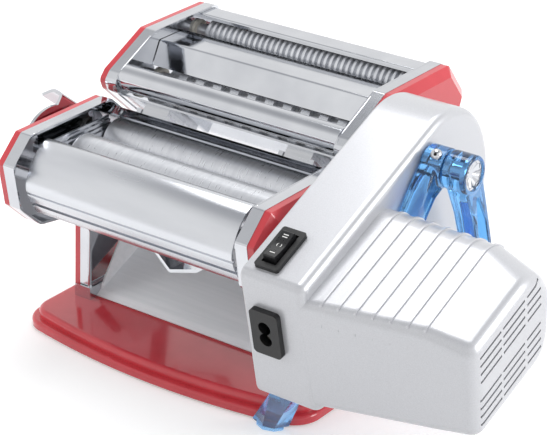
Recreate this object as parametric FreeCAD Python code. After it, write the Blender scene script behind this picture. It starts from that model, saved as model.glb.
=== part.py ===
import FreeCAD, Part
import math
import os

# Electric pasta maker: a roller machine on a bow-fronted base, a double cutter
# head hooked on its rear slope, and a motor unit that plugs in from the side.
# Millimetres. +X points to the motor, -Y to the cook and +Z up. The origin is
# the centre of the base on the table.

# Base
BASE_HALF_WIDTH = 105.0
BASE_HALF_DEPTH = 77.0
BASE_TOP = 12.0
BASE_SKIRT_LOW = 1.5
BASE_STEP_HEIGHT = 6.5
BASE_STEP_INSET = 4.0
BASE_BOW = 12.0
BASE_CORNER = 18.0
BASE_EDGE_ROUND = 3.0
BASE_STEP_ROUND = 2.0
BASE_SHEET = 1.6
BOARD_PLAY = 0.1

# Sheet metal
SHEET = 1.2
WEB = 1.5
RIM_INNER = 79.0
RIM_OUTER = 87.0
COVER_FACE = 95.0
COVER_BEVEL = 6.0
COVER_EDGE = 91.2
COVER_SHEET = 0.8
COVER_INSET = 0.3
FACE_ROUND = 1.0
PLATE_HOLE_PLAY = 0.2
ROD_RADIUS = 3.5
TIE_RODS = [(-70.0, 112.0), (18.0, 95.0), (38.0, 28.0)]

# Slope at the back of the body, on which the cutter head slides
SLOPE = math.radians(43.0)
BODY_TOP = 135.0
BODY_TOP_REAR = -8.0

# Outline of the body's side, as (y, z), clockwise from the top front corner
BODY_OUTLINE = [
    (-78.0, BODY_TOP),
    (-94.0, 120.0),
    (-90.0, 93.0),
    (-74.0, 77.5),
    (-42.0, 72.0),
    (-31.0, 58.0),
    (-33.5, BASE_TOP),
    (50.0, BASE_TOP),
    (42.0, 62.0),
    (36.0, 94.0),
    (BODY_TOP_REAR, BODY_TOP),
]
BODY_CORNER = 2.0
CREST = (BODY_TOP_REAR + 2.0, BODY_TOP - 4.6)

# Guides on the slope and the tongues of the cutter head between them
RAIL_HALF = 9.0
RAIL_X = 52.0
RAIL_LENGTH = 44.0
RAIL_LIFT = 3.4
RAIL_PLAY = 0.25
GUIDE_WIDTH = 3.0
TONGUE_LIFT = 0.6
HEAD_STRIP_LIFT = 7.4

# Outline of the cutter head's side, as (y, z)
HEAD_TOP = 165.5
HEAD_OUTLINE = [
    (34.0, HEAD_TOP),
    (0.0, 149.0),
    (-5.0, 143.5),
    (-2.5, 137.0),
    (31.0, 105.5),
    (62.0, 104.0),
    (103.0, 127.0),
    (110.0, 144.0),
    (93.0, HEAD_TOP),
]
HEAD_CORNER = 4.0

# Dough rollers
ROLLER_LENGTH = 150.0
ROLLER_RADIUS = 14.0
ROLLER_HEIGHT = 110.0
REAR_ROLLER_Y = -9.5
WIDEST_GAP = 2.2
THINNEST_GAP = 0.4
FRONT_ROLLER_Y = REAR_ROLLER_Y - 2.0 * ROLLER_RADIUS - WIDEST_GAP
REAR_CENTRE = (REAR_ROLLER_Y, ROLLER_HEIGHT)
FRONT_CENTRE = (FRONT_ROLLER_Y, ROLLER_HEIGHT)
JOURNAL_RADIUS = 6.0
JOURNAL_END = 93.0
BEARING_PLAY = 0.05
ROLLER_EDGE_ROUND = 1.2
BUSH_RADIUS = 9.0
BLOCK_HALF = 9.0
CARRIAGE_DROP = 27.0
GEAR_FROM = 87.8
GEAR_WIDTH = 2.8
ROLLER_GEAR_MODULE = 2.0
ROLLER_GEAR_TEETH = 14
DRIVE_SLOT_WIDTH = 5.0
DRIVE_SLOT_DEPTH = 9.0
DRIVE_HOLE = 9.0
SCRAPER_TOP = ROLLER_HEIGHT - ROLLER_RADIUS - 0.4
FOLD_LOW = SCRAPER_TOP - 5.0

# Stepped cheeks beside the rollers
GUIDE_LEVELS = 4
GUIDE_STEP = 1.0
GUIDE_DROP = 2.2
GUIDE_TOP = ROLLER_HEIGHT + 16.0
GUIDE_DEPTH = 12.0

# Pasta cutters: (y, z) of each shaft
WIDE_DRIVER = (26.2, 130.3)
WIDE_IDLER = (45.2, 130.3)
WIDE_RIDGE = 10.8
WIDE_CORE = 7.8
WIDE_PITCH = 13.0
WIDE_RIDGE_WIDTH = 6.2
FINE_DRIVER = (66.5, 142.8)
FINE_IDLER = (82.5, 151.0)
FINE_RIDGE = 9.7
FINE_CORE = 7.7
FINE_PITCH = 4.0
FINE_RIDGE_WIDTH = 1.7
CUTTER_LENGTH = 148.0
CUTTER_JOURNAL = 4.0
WIDE_GEAR_TEETH = 19
FINE_GEAR_TEETH = 18
CUTTER_GEAR_MODULE = 1.0
CUTTER_SHAFTS = [WIDE_DRIVER, WIDE_IDLER, FINE_DRIVER, FINE_IDLER]
CUTTER_BUSH_RADIUS = 6.5
CUTTER_DRIVE_HOLE = 6.0
COMB_THICKNESS = 2.4
COMB_DEPTH = 4.0

# Front cover over the body and round tube over the cutter head's front
COVER_HALF = 74.0
COVER_OUTLINE = [
    (-62.5, 127.5),
    (-68.5, 131.6),
    (-73.5, 131.6),
    (-82.2, 125.0),
    (-90.3, 111.0),
    (-89.3, 104.8),
    (-86.0, 97.0),
    (-82.0, 90.0),
]
COVER_ROUNDS = [0.0, 2.0, 9.0, 22.0, 9.0, 2.0, 0.8, 0.0]
TUBE_CENTRE = (6.0, 144.0)
TUBE_RADIUS = 8.0
HEAD_RODS = [TUBE_CENTRE, (96.0, 141.0)]

# Folded sheets of the cutter head, as (y, z) lines
MIDDLE_LINE = [(37.4, 141.0), (45.0, 155.0), (68.0, 155.0), (69.3, 153.6)]
MIDDLE_ROUNDS = [0.0, 2.2, 2.0, 0.0]
REAR_LINE = [(77.0, 161.5), (77.5, 164.2), (91.8, 164.2), (105.0, 146.5), (104.5, 140.0)]
REAR_ROUNDS = [0.0, 1.2, 5.0, 3.0, 0.0]
HEAD_SHEET_HALF = RIM_INNER + 6.0

# Chute over the base, the angles at the legs' ends and the hanging strap
CHUTE_HALF = 77.5
CHUTE_LINE = [(-29.0, 13.3), (-25.0, 16.2), (8.0, 30.4), (31.0, 40.4)]
FLANGE = [(-25.0, 15.6), (-24.4, 19.0), (-8.6, 40.2), (6.0, 58.0), (30.0, 58.0), (30.0, 39.4)]
CLIP_LENGTH = 12.0
CLIP_HEIGHT = 8.0
CLIP_PLAY = 0.15
STRAP_LINE = [(-14.0, FOLD_LOW), (-14.0, 83.0), (5.0, 65.8), (25.0, 71.7), (36.0, 80.0), (36.0, FOLD_LOW)]
STRAP_ROUNDS = [0.0, 5.0, 3.0, 3.0, 5.0, 0.0]
STRAP_WIDTH = 14.0
STRAP_THICKNESS = 2.0
STRAP_Y = -45.0

# Motor unit
HOUSING_INNER = 98.0
HOUSING_SEAM = 116.0
HOUSING_OUTER = 138.0
HOUSING_WALL = 2.2
HOUSING_OUTLINE = [
    (-99.0, 35.5),
    (77.0, 98.6),
    (45.4, 185.5),
    (-115.0, 118.0),
]
HOUSING_ROUNDS = [8.0, 43.0, 43.0, 5.0]
HOUSING_EDGE = 5.0
HOUSING_INNER_EDGE = 1.5

# Motor block: its section at three places, from the lower front corner round to the upper
CASING_FROM = 132.0
BLOCK_SEAM = 205.0
BLOCK_END = 231.0
CASING_START = [(-99.6, 41.0), (-29.0, 64.0), (-25.0, 144.0), (-113.5, 109.5)]
CASING_START_ROUNDS = [5.0, 14.0, 16.0, 6.0]
CASING_STOP = [(-93.6, 48.5), (-24.0, 72.5), (-24.5, 143.5), (-104.0, 111.0)]
CASING_STOP_ROUNDS = [6.0, 18.0, 19.0, 7.0]
CAP_STOP = [(-92.0, 50.5), (-21.0, 74.0), (-21.5, 136.0), (-100.3, 106.5)]
CAP_STOP_ROUNDS = [9.0, 22.0, 26.0, 9.0]
CAP_EDGE = 8.0
RIB_COUNT = 7
RIB_HEIGHT = 0.9
RIB_WIDTH = 1.3
RIB_FIRST = 146.0
RIB_SINK = 0.6

# Air slots of the end cap: rows in two groups, each row in three pieces
VENT_ROWS = 4
VENT_PITCH = 4.85
VENT_BAND = 11.0
VENT_HEIGHT = 1.4
VENT_DEPTH = 10.0
VENT_START = (-93.5, 101.0)
VENT_REACH = 60.0
VENT_PIECES = [(0.0, 0.34), (0.37, 0.73), (0.77, 1.0)]
VENT_SHIFT = 0.7

# Three-way switch on top of the housing
SWITCH_X = 111.7
SWITCH_SHARE = 0.114
SWITCH_LENGTH = 28.9
SWITCH_WIDTH = 15.0
SWITCH_FLANGE = 2.4
SWITCH_BODY_LENGTH = 25.0
SWITCH_BODY_WIDTH = 12.0
SWITCH_BODY_DEPTH = 14.0
ROCKER_WIDTH = 7.4
ROCKER_LENGTH = 20.4
ROCKER_TOP = 5.9
ROCKER_DIP = 1.2
ROCKER_LOW = -4.6
ROCKER_GAP = 0.9
ROCKER_PIVOT = (0.0, -1.0)
ROCKER_PIN_RADIUS = 1.5
ROCKER_PIN_REACH = 5.4
WELL_DEPTH = 7.0

# Mains inlet on the front of the housing
INLET_X = 112.7
INLET_SHARE = 0.595
INLET_HEIGHT = 28.0
INLET_WIDTH = 18.0
INLET_FLANGE = 3.4
INLET_BODY_HEIGHT = 21.0
INLET_BODY_WIDTH = 12.5
INLET_BODY_DEPTH = 16.0
LOBE_RADIUS = 3.9
LOBE_OFFSET = 3.7
PIN_RADIUS = 1.2
PIN_OFFSET = 4.3
PIN_LENGTH = 12.0

# Gear train of the motor unit: the rotor, one reduction shaft and the output
MOTOR_AXIS = (-66.0, 91.0)
OUTPUT_AXIS = REAR_CENTRE
OUTPUT_TEETH = 60
PINION_TEETH = 12
LARGE_TEETH = 44
MOTOR_TEETH = 10
TRAIN_MODULE = 1.0
MESH_PLAY = 0.25
ROTOR_RADIUS = 15.0
AIR_GAP = 0.8
STATOR_RADIUS = 25.0
STACK_FROM = 148.0
STACK_TO = 188.0
COIL_OVERHANG = 5.0
PLATE_FROM = STACK_FROM - 9.0
PLATE_TO = STACK_FROM - 6.5
PLATE_PLAY = 0.05
MOTOR_SHAFT_RADIUS = 3.0
REDUCTION_SHAFT_RADIUS = 3.0
OUTPUT_SHAFT_RADIUS = 6.0
OUTPUT_BUSH = 7.5
FAN_FROM = BLOCK_END - 21.0
FAN_BLADES = 9
FAN_RADIUS = 19.5

# Support stand of the motor unit
HUB_AXIS = (0.0, 149.0)
HUB_RADIUS = 11.0
HUB_INNER = (138.6, 152.0)
HUB_OUTER = (152.6, 167.5)
LEG_FOOT = (36.0, 0.0)
BRACKET_END = (-27.5, 127.5)
HUB_BORE = 3.05
HUB_SCREW_RADIUS = 2.0
BALL_RADIUS = 3.4
BALL_CENTRE = (147.6, -7.4, 158.4)
FOOT_TOP_X = (100.0, 116.0)
FOOT_TOP_SHARES = (0.06, 0.16)
PAD_CORNERS = [(75.0, -73.0), (84.8, -77.0), (91.5, -75.0), (96.5, -68.0)]
PAD_HEIGHT = 3.0

# Thickness regulator on the left side
REGULATOR_RADIUS = 25.0
REGULATOR_SHEET = 2.0
REGULATOR_FACE = -99.0
REGULATOR_HUB = 8.0
TAB_ANGLE = -39.0
TAB_WIDTH = 20.0

V = FreeCAD.Vector


def side(x):
    """Place (y, z) points in the plane across the machine at x."""
    return lambda y, z: V(x, y, z)


def plan(z):
    """Place (x, y) points in the level plane at height z."""
    return lambda x, y: V(x, y, z)


def unit(ax, ay):
    """Scale a 2-D direction to length 1."""
    length = math.hypot(ax, ay)
    return ax / length, ay / length


def rounded_edges(points, radii, place, closed):
    """Edges through 2-D points, each corner rounded by its own arc."""
    count = len(points)
    spans = []
    for i, (px, py) in enumerate(points):
        inner = closed or 0 < i < count - 1
        if not inner or radii[i] <= 0.0:
            spans.append(((px, py), None, (px, py)))
            continue
        bx, by = unit(points[i - 1][0] - px, points[i - 1][1] - py)
        nx, ny = unit(points[(i + 1) % count][0] - px, points[(i + 1) % count][1] - py)
        half = math.acos(max(-1.0, min(1.0, bx * nx + by * ny))) / 2.0
        reach = radii[i] / math.tan(half)
        mx, my = unit(bx + nx, by + ny)
        depth = radii[i] / math.sin(half) - radii[i]
        start = (px + bx * reach, py + by * reach)
        middle = (px + mx * depth, py + my * depth)
        spans.append((start, middle, (px + nx * reach, py + ny * reach)))
    edges = []
    for i, (start, middle, end) in enumerate(spans):
        if middle:
            edges.append(Part.Arc(place(*start), place(*middle), place(*end)).toShape())
        if i + 1 < count or closed:
            following = spans[(i + 1) % count][0]
            if math.dist(end, following) > 1e-6:
                edges.append(Part.LineSegment(place(*end), place(*following)).toShape())
    return edges


def outline(points, radii, place):
    """Closed wire through 2-D points with rounded corners."""
    if not isinstance(radii, (list, tuple)):
        radii = [radii] * len(points)
    return Part.Wire(rounded_edges(points, radii, place, True))


def slab(points, radii, x_from, x_to):
    """Solid with a (y, z) outline, from one x to another."""
    face = Part.Face(outline(points, radii, side(x_from)))
    return face.extrude(V(x_to - x_from, 0.0, 0.0))


def moved_in(points, depth):
    """The outline moved inwards by depth, with the same number of corners."""
    count = len(points)
    area = 0.0
    for i in range(count):
        area += points[i - 1][0] * points[i][1] - points[i][0] * points[i - 1][1]
    turn = 1.0 if area > 0.0 else -1.0
    lines = []
    for i in range(count):
        (ax, ay), (bx, by) = points[i], points[(i + 1) % count]
        dx, dy = unit(bx - ax, by - ay)
        lines.append((ax - dy * depth * turn, ay + dx * depth * turn, dx, dy))
    result = []
    for i in range(count):
        ax, ay, adx, ady = lines[i - 1]
        bx, by, bdx, bdy = lines[i]
        cross = adx * bdy - ady * bdx
        along = ((bx - ax) * bdy - (by - ay) * bdx) / cross
        result.append((ax + adx * along, ay + ady * along))
    return result


def strip(points, radii, thickness, x_from, x_to):
    """Sheet bent along X: an open (y, z) line given a thickness on its left."""
    legs = [unit(b[0] - a[0], b[1] - a[1]) for a, b in zip(points, points[1:])]
    back = []
    back_radii = []
    for i, (px, py) in enumerate(points):
        inx, iny = legs[max(i - 1, 0)]
        outx, outy = legs[min(i, len(legs) - 1)]
        nx, ny = unit(-(iny + outy), inx + outx)
        reach = thickness / (ny * outx - nx * outy)
        back.append((px + nx * reach, py + ny * reach))
        inward = thickness if inx * outy > iny * outx else -thickness
        back_radii.append(max(0.0, radii[i] - inward) if radii[i] else 0.0)
    return slab(points + back[::-1], radii + back_radii[::-1], x_from, x_to)


def rod(x_from, x_to, centre, radius):
    """Round bar along X."""
    start = V(min(x_from, x_to), centre[0], centre[1])
    return Part.makeCylinder(radius, abs(x_to - x_from), start, V(1, 0, 0))


def ring(x_from, x_to, centre, outer, inner):
    """Round bush along X."""
    return rod(x_from, x_to, centre, outer).cut(rod(x_from - 1.0, x_to + 1.0, centre, inner))


def block(x_from, x_to, y_from, y_to, z_from, z_to):
    """Plain box between two corners."""
    return Part.makeBox(x_to - x_from, y_to - y_from, z_to - z_from, V(x_from, y_from, z_from))


def turned(shape, centre, degrees):
    """The shape turned about an X axis through a (y, z) centre."""
    copy = shape.copy()
    copy.rotate(V(0.0, centre[0], centre[1]), V(1, 0, 0), degrees)
    return copy


def mirrored(shape):
    """The shape on the other side of the machine."""
    return shape.mirror(V(0, 0, 0), V(1, 0, 0))


def joined(shapes):
    """One solid from touching shapes."""
    result = shapes[0]
    for shape in shapes[1:]:
        result = result.fuse(shape)
    return result.removeSplitter()


def without(shape, tools):
    """The shape with every tool cut away."""
    for tool in tools:
        shape = shape.cut(tool)
    return shape


def solids_of(shapes):
    """Separate solids that share one node."""
    return Part.makeCompound([solid for shape in shapes for solid in shape.Solids])


def direction(start, end):
    """Angle in degrees of the line between two (y, z) points."""
    return math.degrees(math.atan2(end[1] - start[1], end[0] - start[0]))


def gear(x_from, x_to, centre, teeth, module, tooth_at, bore):
    """Spur gear with involute flanks and a tooth centred at one angle."""
    pitch = teeth * module / 2.0
    base = pitch * math.cos(math.radians(20.0))
    tip = pitch + 0.8 * module
    root = pitch - 1.1 * module
    low = max(base, root)
    lean = math.tan(math.acos(base / pitch)) - math.acos(base / pitch)
    half_tooth = math.pi / (2.0 * teeth) - MESH_PLAY / (2.0 * pitch)
    flank = []
    for step in range(4):
        radius = low + (tip - low) * step / 3.0
        pressure = math.acos(base / radius)
        flank.append((radius, half_tooth + lean - (math.tan(pressure) - pressure)))
    if low > root:
        flank.insert(0, (root, flank[0][1]))
    points = []
    for tooth in range(teeth):
        middle = math.radians(tooth_at) + 2.0 * math.pi * tooth / teeth
        for radius, spread in flank:
            points.append((radius, middle - spread))
        for radius, spread in flank[::-1]:
            points.append((radius, middle + spread))
    corners = []
    for radius, angle in points:
        corners.append((centre[0] + radius * math.cos(angle), centre[1] + radius * math.sin(angle)))
    body = slab(corners, 0.0, x_from, x_to)
    return body.cut(rod(x_from - 1.0, x_to + 1.0, centre, bore))


def gap_at(start, end, teeth):
    """Tooth angle for a gear whose gap faces the gear that it meshes with."""
    return direction(start, end) + 180.0 / teeth


def pan(points, radius, openings):
    """Pressed side plate: a web with a rim turned inwards along its outline."""
    outer = slab(points, radius, RIM_INNER, RIM_OUTER)
    hollow = slab(moved_in(points, SHEET), max(radius - SHEET, 0.4), RIM_INNER - 1.0, RIM_OUTER - WEB)
    return without(outer.cut(hollow), openings)


def dished_cover(points, radius, openings):
    """Painted side cover: a bevelled dish with a flat outer face."""
    def skin(inset, x_near, x_far):
        foot = moved_in(points, COVER_INSET + inset)
        face = moved_in(points, COVER_BEVEL + inset)
        skirt = slab(foot, radius, x_near, COVER_EDGE)
        dome = Part.makeLoft([
            outline(foot, radius, side(COVER_EDGE)),
            outline(face, FACE_ROUND, side(x_far)),
        ], True, True)
        return skirt.fuse(dome)
    shell = skin(0.0, RIM_OUTER, COVER_FACE)
    shell = shell.cut(skin(COVER_SHEET, RIM_OUTER - 1.0, COVER_FACE - COVER_SHEET))
    return without(shell, openings)


def base_layer(inset, z_from, z_to):
    """Bow-fronted plate with rounded corners."""
    half = BASE_HALF_WIDTH - inset
    rear = BASE_HALF_DEPTH - inset
    corner_y = -BASE_HALF_DEPTH + BASE_BOW + inset
    place = plan(z_from)
    edges = [
        Part.Arc(place(-half, corner_y), place(0.0, -rear), place(half, corner_y)).toShape(),
        Part.LineSegment(place(half, corner_y), place(half, rear)).toShape(),
        Part.LineSegment(place(half, rear), place(-half, rear)).toShape(),
        Part.LineSegment(place(-half, rear), place(-half, corner_y)).toShape(),
    ]
    layer = Part.Face(Part.Wire(edges)).extrude(V(0, 0, z_to - z_from))
    upright = [e for e in layer.Edges if abs(e.Vertexes[0].Z - e.Vertexes[-1].Z) > 0.5 * (z_to - z_from)]
    return layer.makeFillet(BASE_CORNER - inset, upright)


def top_edges(shape, height):
    """Edges of a level plate that lie at one height."""
    return [e for e in shape.Edges if all(abs(v.Z - height) < 0.01 for v in e.Vertexes)]


def make_base():
    """Pressed base tray with a flared, stepped skirt."""
    lower = base_layer(0.0, BASE_SKIRT_LOW, BASE_STEP_HEIGHT)
    upper = base_layer(BASE_STEP_INSET, BASE_SKIRT_LOW, BASE_TOP)
    lower = lower.makeFillet(BASE_STEP_ROUND, top_edges(lower, BASE_STEP_HEIGHT))
    upper = upper.makeFillet(BASE_EDGE_ROUND, top_edges(upper, BASE_TOP))
    room = base_layer(BASE_STEP_INSET + BASE_SHEET, 0.0, BASE_TOP - BASE_SHEET)
    flare = base_layer(BASE_SHEET, 0.0, BASE_STEP_HEIGHT - BASE_SHEET)
    return lower.fuse(upper).cut(room).cut(flare).removeSplitter()


def make_base_board():
    """Wooden board in the tray, on whose flat underside the machine stands."""
    return base_layer(BASE_STEP_INSET + BASE_SHEET + BOARD_PLAY, 0.0, BASE_TOP - BASE_SHEET)


def slide_window(grow):
    """Window in the body plates in which a bearing block of the front roller slides."""
    reach = WIDEST_GAP - THINNEST_GAP
    return block(
        RIM_OUTER - WEB - 3.0, RIM_OUTER + 1.0,
        FRONT_ROLLER_Y - BLOCK_HALF - grow, FRONT_ROLLER_Y + BLOCK_HALF + reach + grow,
        ROLLER_HEIGHT - BLOCK_HALF - grow, ROLLER_HEIGHT + BLOCK_HALF + grow)


def body_plate():
    """Right side plate of the roller machine."""
    web_from = RIM_OUTER - WEB - 1.0
    web_to = RIM_OUTER + 1.0
    holes = [rod(web_from, web_to, REAR_CENTRE, BUSH_RADIUS), slide_window(0.1)]
    holes += [rod(web_from, web_to, centre, ROD_RADIUS) for centre in TIE_RODS]
    return pan(BODY_OUTLINE, BODY_CORNER, holes)


def head_plate():
    """Right side plate of the cutter head."""
    web_from = RIM_OUTER - WEB - 1.0
    web_to = RIM_OUTER + 1.0
    holes = [rod(web_from, web_to, centre, CUTTER_BUSH_RADIUS) for centre in CUTTER_SHAFTS]
    holes += [rod(web_from, web_to, centre, ROD_RADIUS) for centre in HEAD_RODS]
    return pan(HEAD_OUTLINE, HEAD_CORNER, holes)


def left_cover():
    """Left side cover with the hole for the regulator's hub."""
    hub = rod(RIM_OUTER, COVER_FACE + 1.0, FRONT_CENTRE, REGULATOR_HUB + PLATE_HOLE_PLAY)
    return mirrored(dished_cover(BODY_OUTLINE, BODY_CORNER, [hub]))


def right_cover():
    """Right side cover with the hole for the motor's drive."""
    drive = rod(RIM_OUTER, COVER_FACE + 1.0, REAR_CENTRE, DRIVE_HOLE)
    return dished_cover(BODY_OUTLINE, BODY_CORNER, [drive])


def head_cover(with_holes):
    """Painted end cover of the cutter head."""
    holes = []
    if with_holes:
        for centre in (WIDE_DRIVER, FINE_DRIVER):
            holes.append(rod(RIM_OUTER, COVER_FACE + 1.0, centre, CUTTER_DRIVE_HOLE))
    return dished_cover(HEAD_OUTLINE, HEAD_CORNER, holes)


def make_front_cover():
    """Chrome front cover, one sheet with end cheeks carried on a tie rod."""
    sheet = strip(COVER_OUTLINE, COVER_ROUNDS, SHEET, -COVER_HALF, COVER_HALF)
    cheek_outline = moved_in(COVER_OUTLINE, SHEET * 0.5)
    cheeks = []
    for x in (-COVER_HALF, COVER_HALF - SHEET):
        cheek = slab(cheek_outline, 0.0, x, x + SHEET)
        cheeks.append(cheek.cut(rod(x - 1.0, x + 3.0, TIE_RODS[0], ROD_RADIUS)))
    return joined([sheet] + cheeks)


def along_slope(start, distance, lift):
    """Point down the rear slope from a (y, z) start, lifted off it."""
    dy, dz = math.cos(SLOPE), -math.sin(SLOPE)
    return start[0] + dy * distance - dz * lift, start[1] + dz * distance + dy * lift


def make_rear_cover():
    """Rear sheet of the body with the two guides that carry the cutter head."""
    foot = along_slope(CREST, 52.0, 0.0)
    sheet = strip([foot, CREST, (CREST[0] - 11.0, CREST[1] + 0.4)], [0.0, 2.0, 0.0], SHEET,
                  -RIM_OUTER + WEB, RIM_OUTER - WEB)
    guides = []
    for sx in (-1.0, 1.0):
        for edge in (-1.0, 1.0):
            inner = sx * RAIL_X + edge * (RAIL_HALF + RAIL_PLAY)
            x_from, x_to = sorted((inner, inner + edge * GUIDE_WIDTH))
            guides.append(slope_bar(x_from, x_to, 3.0, RAIL_LENGTH, -SHEET, RAIL_LIFT))
    return joined([sheet] + guides)


def slope_bar(x_from, x_to, start, end, low, high):
    """Bar that lies along the rear slope."""
    corners = [
        along_slope(CREST, start, low),
        along_slope(CREST, end, low),
        along_slope(CREST, end, high),
        along_slope(CREST, start, high),
    ]
    return slab(corners, 0.0, x_from, x_to)


def make_cutter_rails():
    """Two tongues of the cutter head that slide between the body's guides."""
    rails = []
    for sx in (-1.0, 1.0):
        x_from, x_to = sx * RAIL_X - RAIL_HALF, sx * RAIL_X + RAIL_HALF
        rails.append(slope_bar(x_from, x_to, 4.0, RAIL_LENGTH - 8.0, TONGUE_LIFT, HEAD_STRIP_LIFT))
    return solids_of(rails)


def make_lower_strip():
    """Polished sheet that closes the cutter head towards the body."""
    top = along_slope(CREST, 1.5, HEAD_STRIP_LIFT + SHEET)
    low = along_slope(CREST, 38.0, HEAD_STRIP_LIFT + SHEET)
    return strip([low, top], [0.0, 0.0], SHEET, -RIM_INNER, RIM_INNER)


def make_chute():
    """Sloping sheet on which the dough comes out, with two raised side flanges."""
    sheet = strip(CHUTE_LINE, [0.0, 0.6, 0.0, 0.0], -SHEET, -CHUTE_HALF, CHUTE_HALF)
    flanges = []
    for x in (-CHUTE_HALF, CHUTE_HALF - SHEET):
        flanges.append(slab(FLANGE, 0.0, x, x + SHEET))
    return joined([sheet] + flanges)


def make_leg_clips():
    """Chrome angles that hold the ends of both legs on the base."""
    clips = []
    for y_end, toward in ((BODY_OUTLINE[6][0] - CLIP_PLAY, 1.0), (BODY_OUTLINE[7][0] + CLIP_PLAY, -1.0)):
        y_from, y_to = sorted((y_end - toward * SHEET, y_end))
        wall = block(CHUTE_HALF + 0.1, COVER_FACE - 5.0, y_from, y_to, BASE_TOP, BASE_TOP + CLIP_HEIGHT)
        y_from, y_to = sorted((y_end, y_end + toward * CLIP_LENGTH))
        flank = block(CHUTE_HALF + 0.1, RIM_INNER, y_from, y_to, BASE_TOP, BASE_TOP + CLIP_HEIGHT)
        clip = joined([wall, flank])
        clips += [clip, mirrored(clip)]
    return solids_of(clips)


def make_tie_rods():
    """Round rods that hold the two body plates apart."""
    return solids_of([rod(-RIM_OUTER, RIM_OUTER, centre, ROD_RADIUS) for centre in TIE_RODS])


def make_head_rods():
    """Round rods that hold the two plates of the cutter head apart."""
    return solids_of([rod(-RIM_OUTER, RIM_OUTER, centre, ROD_RADIUS) for centre in HEAD_RODS])


def make_centre_bracket():
    """Formed chrome strap that hangs under the front cover from the scraper's fold."""
    bar = strip(STRAP_LINE, STRAP_ROUNDS, STRAP_THICKNESS, 0.0, STRAP_WIDTH)
    bar.rotate(V(0, 0, 0), V(0, 0, 1), -90.0)
    bar.translate(V(0.0, STRAP_Y, 0.0))
    return bar


def roller(y, left_end, right_end):
    """Dough roller with turned-down journals."""
    centre = (y, ROLLER_HEIGHT)
    half = ROLLER_LENGTH / 2.0
    barrel = rod(-half, half, centre, ROLLER_RADIUS)
    ends = [e for e in barrel.Edges if e.Curve.TypeId == "Part::GeomCircle"]
    barrel = barrel.makeFillet(ROLLER_EDGE_ROUND, ends)
    return joined([barrel, rod(left_end, right_end, centre, JOURNAL_RADIUS)])


def make_rear_roller():
    """Driven roller: its right journal has the slot that takes the motor's tongue."""
    body = roller(REAR_ROLLER_Y, -JOURNAL_END, COVER_FACE - 1.0)
    slot = block(COVER_FACE - 1.0 - DRIVE_SLOT_DEPTH, COVER_FACE,
                 REAR_ROLLER_Y - DRIVE_SLOT_WIDTH / 2.0, REAR_ROLLER_Y + DRIVE_SLOT_WIDTH / 2.0,
                 ROLLER_HEIGHT - 10.0, ROLLER_HEIGHT + 10.0)
    return body.cut(slot)


def make_front_roller():
    """Roller that moves towards or away from the driven one."""
    return roller(FRONT_ROLLER_Y, -JOURNAL_END, JOURNAL_END - 5.0)


def make_roller_gear(driven):
    """Gear on the left journal of one of the two dough rollers."""
    centre = REAR_CENTRE if driven else FRONT_CENTRE
    tooth_at = 180.0 if driven else 180.0 / ROLLER_GEAR_TEETH
    return gear(-GEAR_FROM - GEAR_WIDTH, -GEAR_FROM, centre, ROLLER_GEAR_TEETH,
                ROLLER_GEAR_MODULE, tooth_at, JOURNAL_RADIUS)


def make_roller_bushes():
    """Two bushes in the body plates for the driven roller."""
    bush = ring(RIM_OUTER - WEB - 2.5, RIM_OUTER + 0.6, REAR_CENTRE, BUSH_RADIUS,
                JOURNAL_RADIUS + BEARING_PLAY)
    return solids_of([bush, mirrored(bush)])


def make_roller_carriage():
    """Two bearing blocks joined by a bar, which slide in the plates' windows."""
    centre = FRONT_CENTRE
    lug = block(RIM_OUTER - WEB - 2.5, RIM_OUTER + 0.6, centre[0] - BLOCK_HALF, centre[0] + BLOCK_HALF,
                centre[1] - BLOCK_HALF, centre[1] + BLOCK_HALF)
    lug = lug.cut(rod(RIM_INNER, RIM_OUTER + 2.0, centre, JOURNAL_RADIUS + BEARING_PLAY))
    neck = block(RIM_OUTER - WEB - 2.5, RIM_OUTER - WEB - 0.5, centre[0] - 2.0, centre[0] + 6.0,
                 centre[1] - CARRIAGE_DROP + 3.0, centre[1] - BLOCK_HALF)
    bar = block(-RIM_OUTER + WEB + 0.5, RIM_OUTER - WEB - 0.5, centre[0] - 2.0, centre[0] + 6.0,
                centre[1] - CARRIAGE_DROP, centre[1] - CARRIAGE_DROP + 3.0)
    return joined([bar, neck, mirrored(neck), lug, mirrored(lug)])



def make_scraper(y_from, y_to, toward):
    """Thin steel blade under a roller, with a fold between the plates at its outer edge."""
    edge = y_to if toward > 0.0 else y_from
    fold_from, fold_to = sorted((edge, edge - toward))
    tab_from, tab_to = sorted((edge, edge - toward * 5.0))
    half = RIM_OUTER - WEB
    return joined([
        block(-half + 3.5, half - 3.5, y_from, y_to, SCRAPER_TOP - 1.0, SCRAPER_TOP),
        block(-half, half, tab_from, tab_to, SCRAPER_TOP - 1.0, SCRAPER_TOP),
        block(-half, half, fold_from, fold_to, FOLD_LOW, SCRAPER_TOP),
    ])


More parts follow.
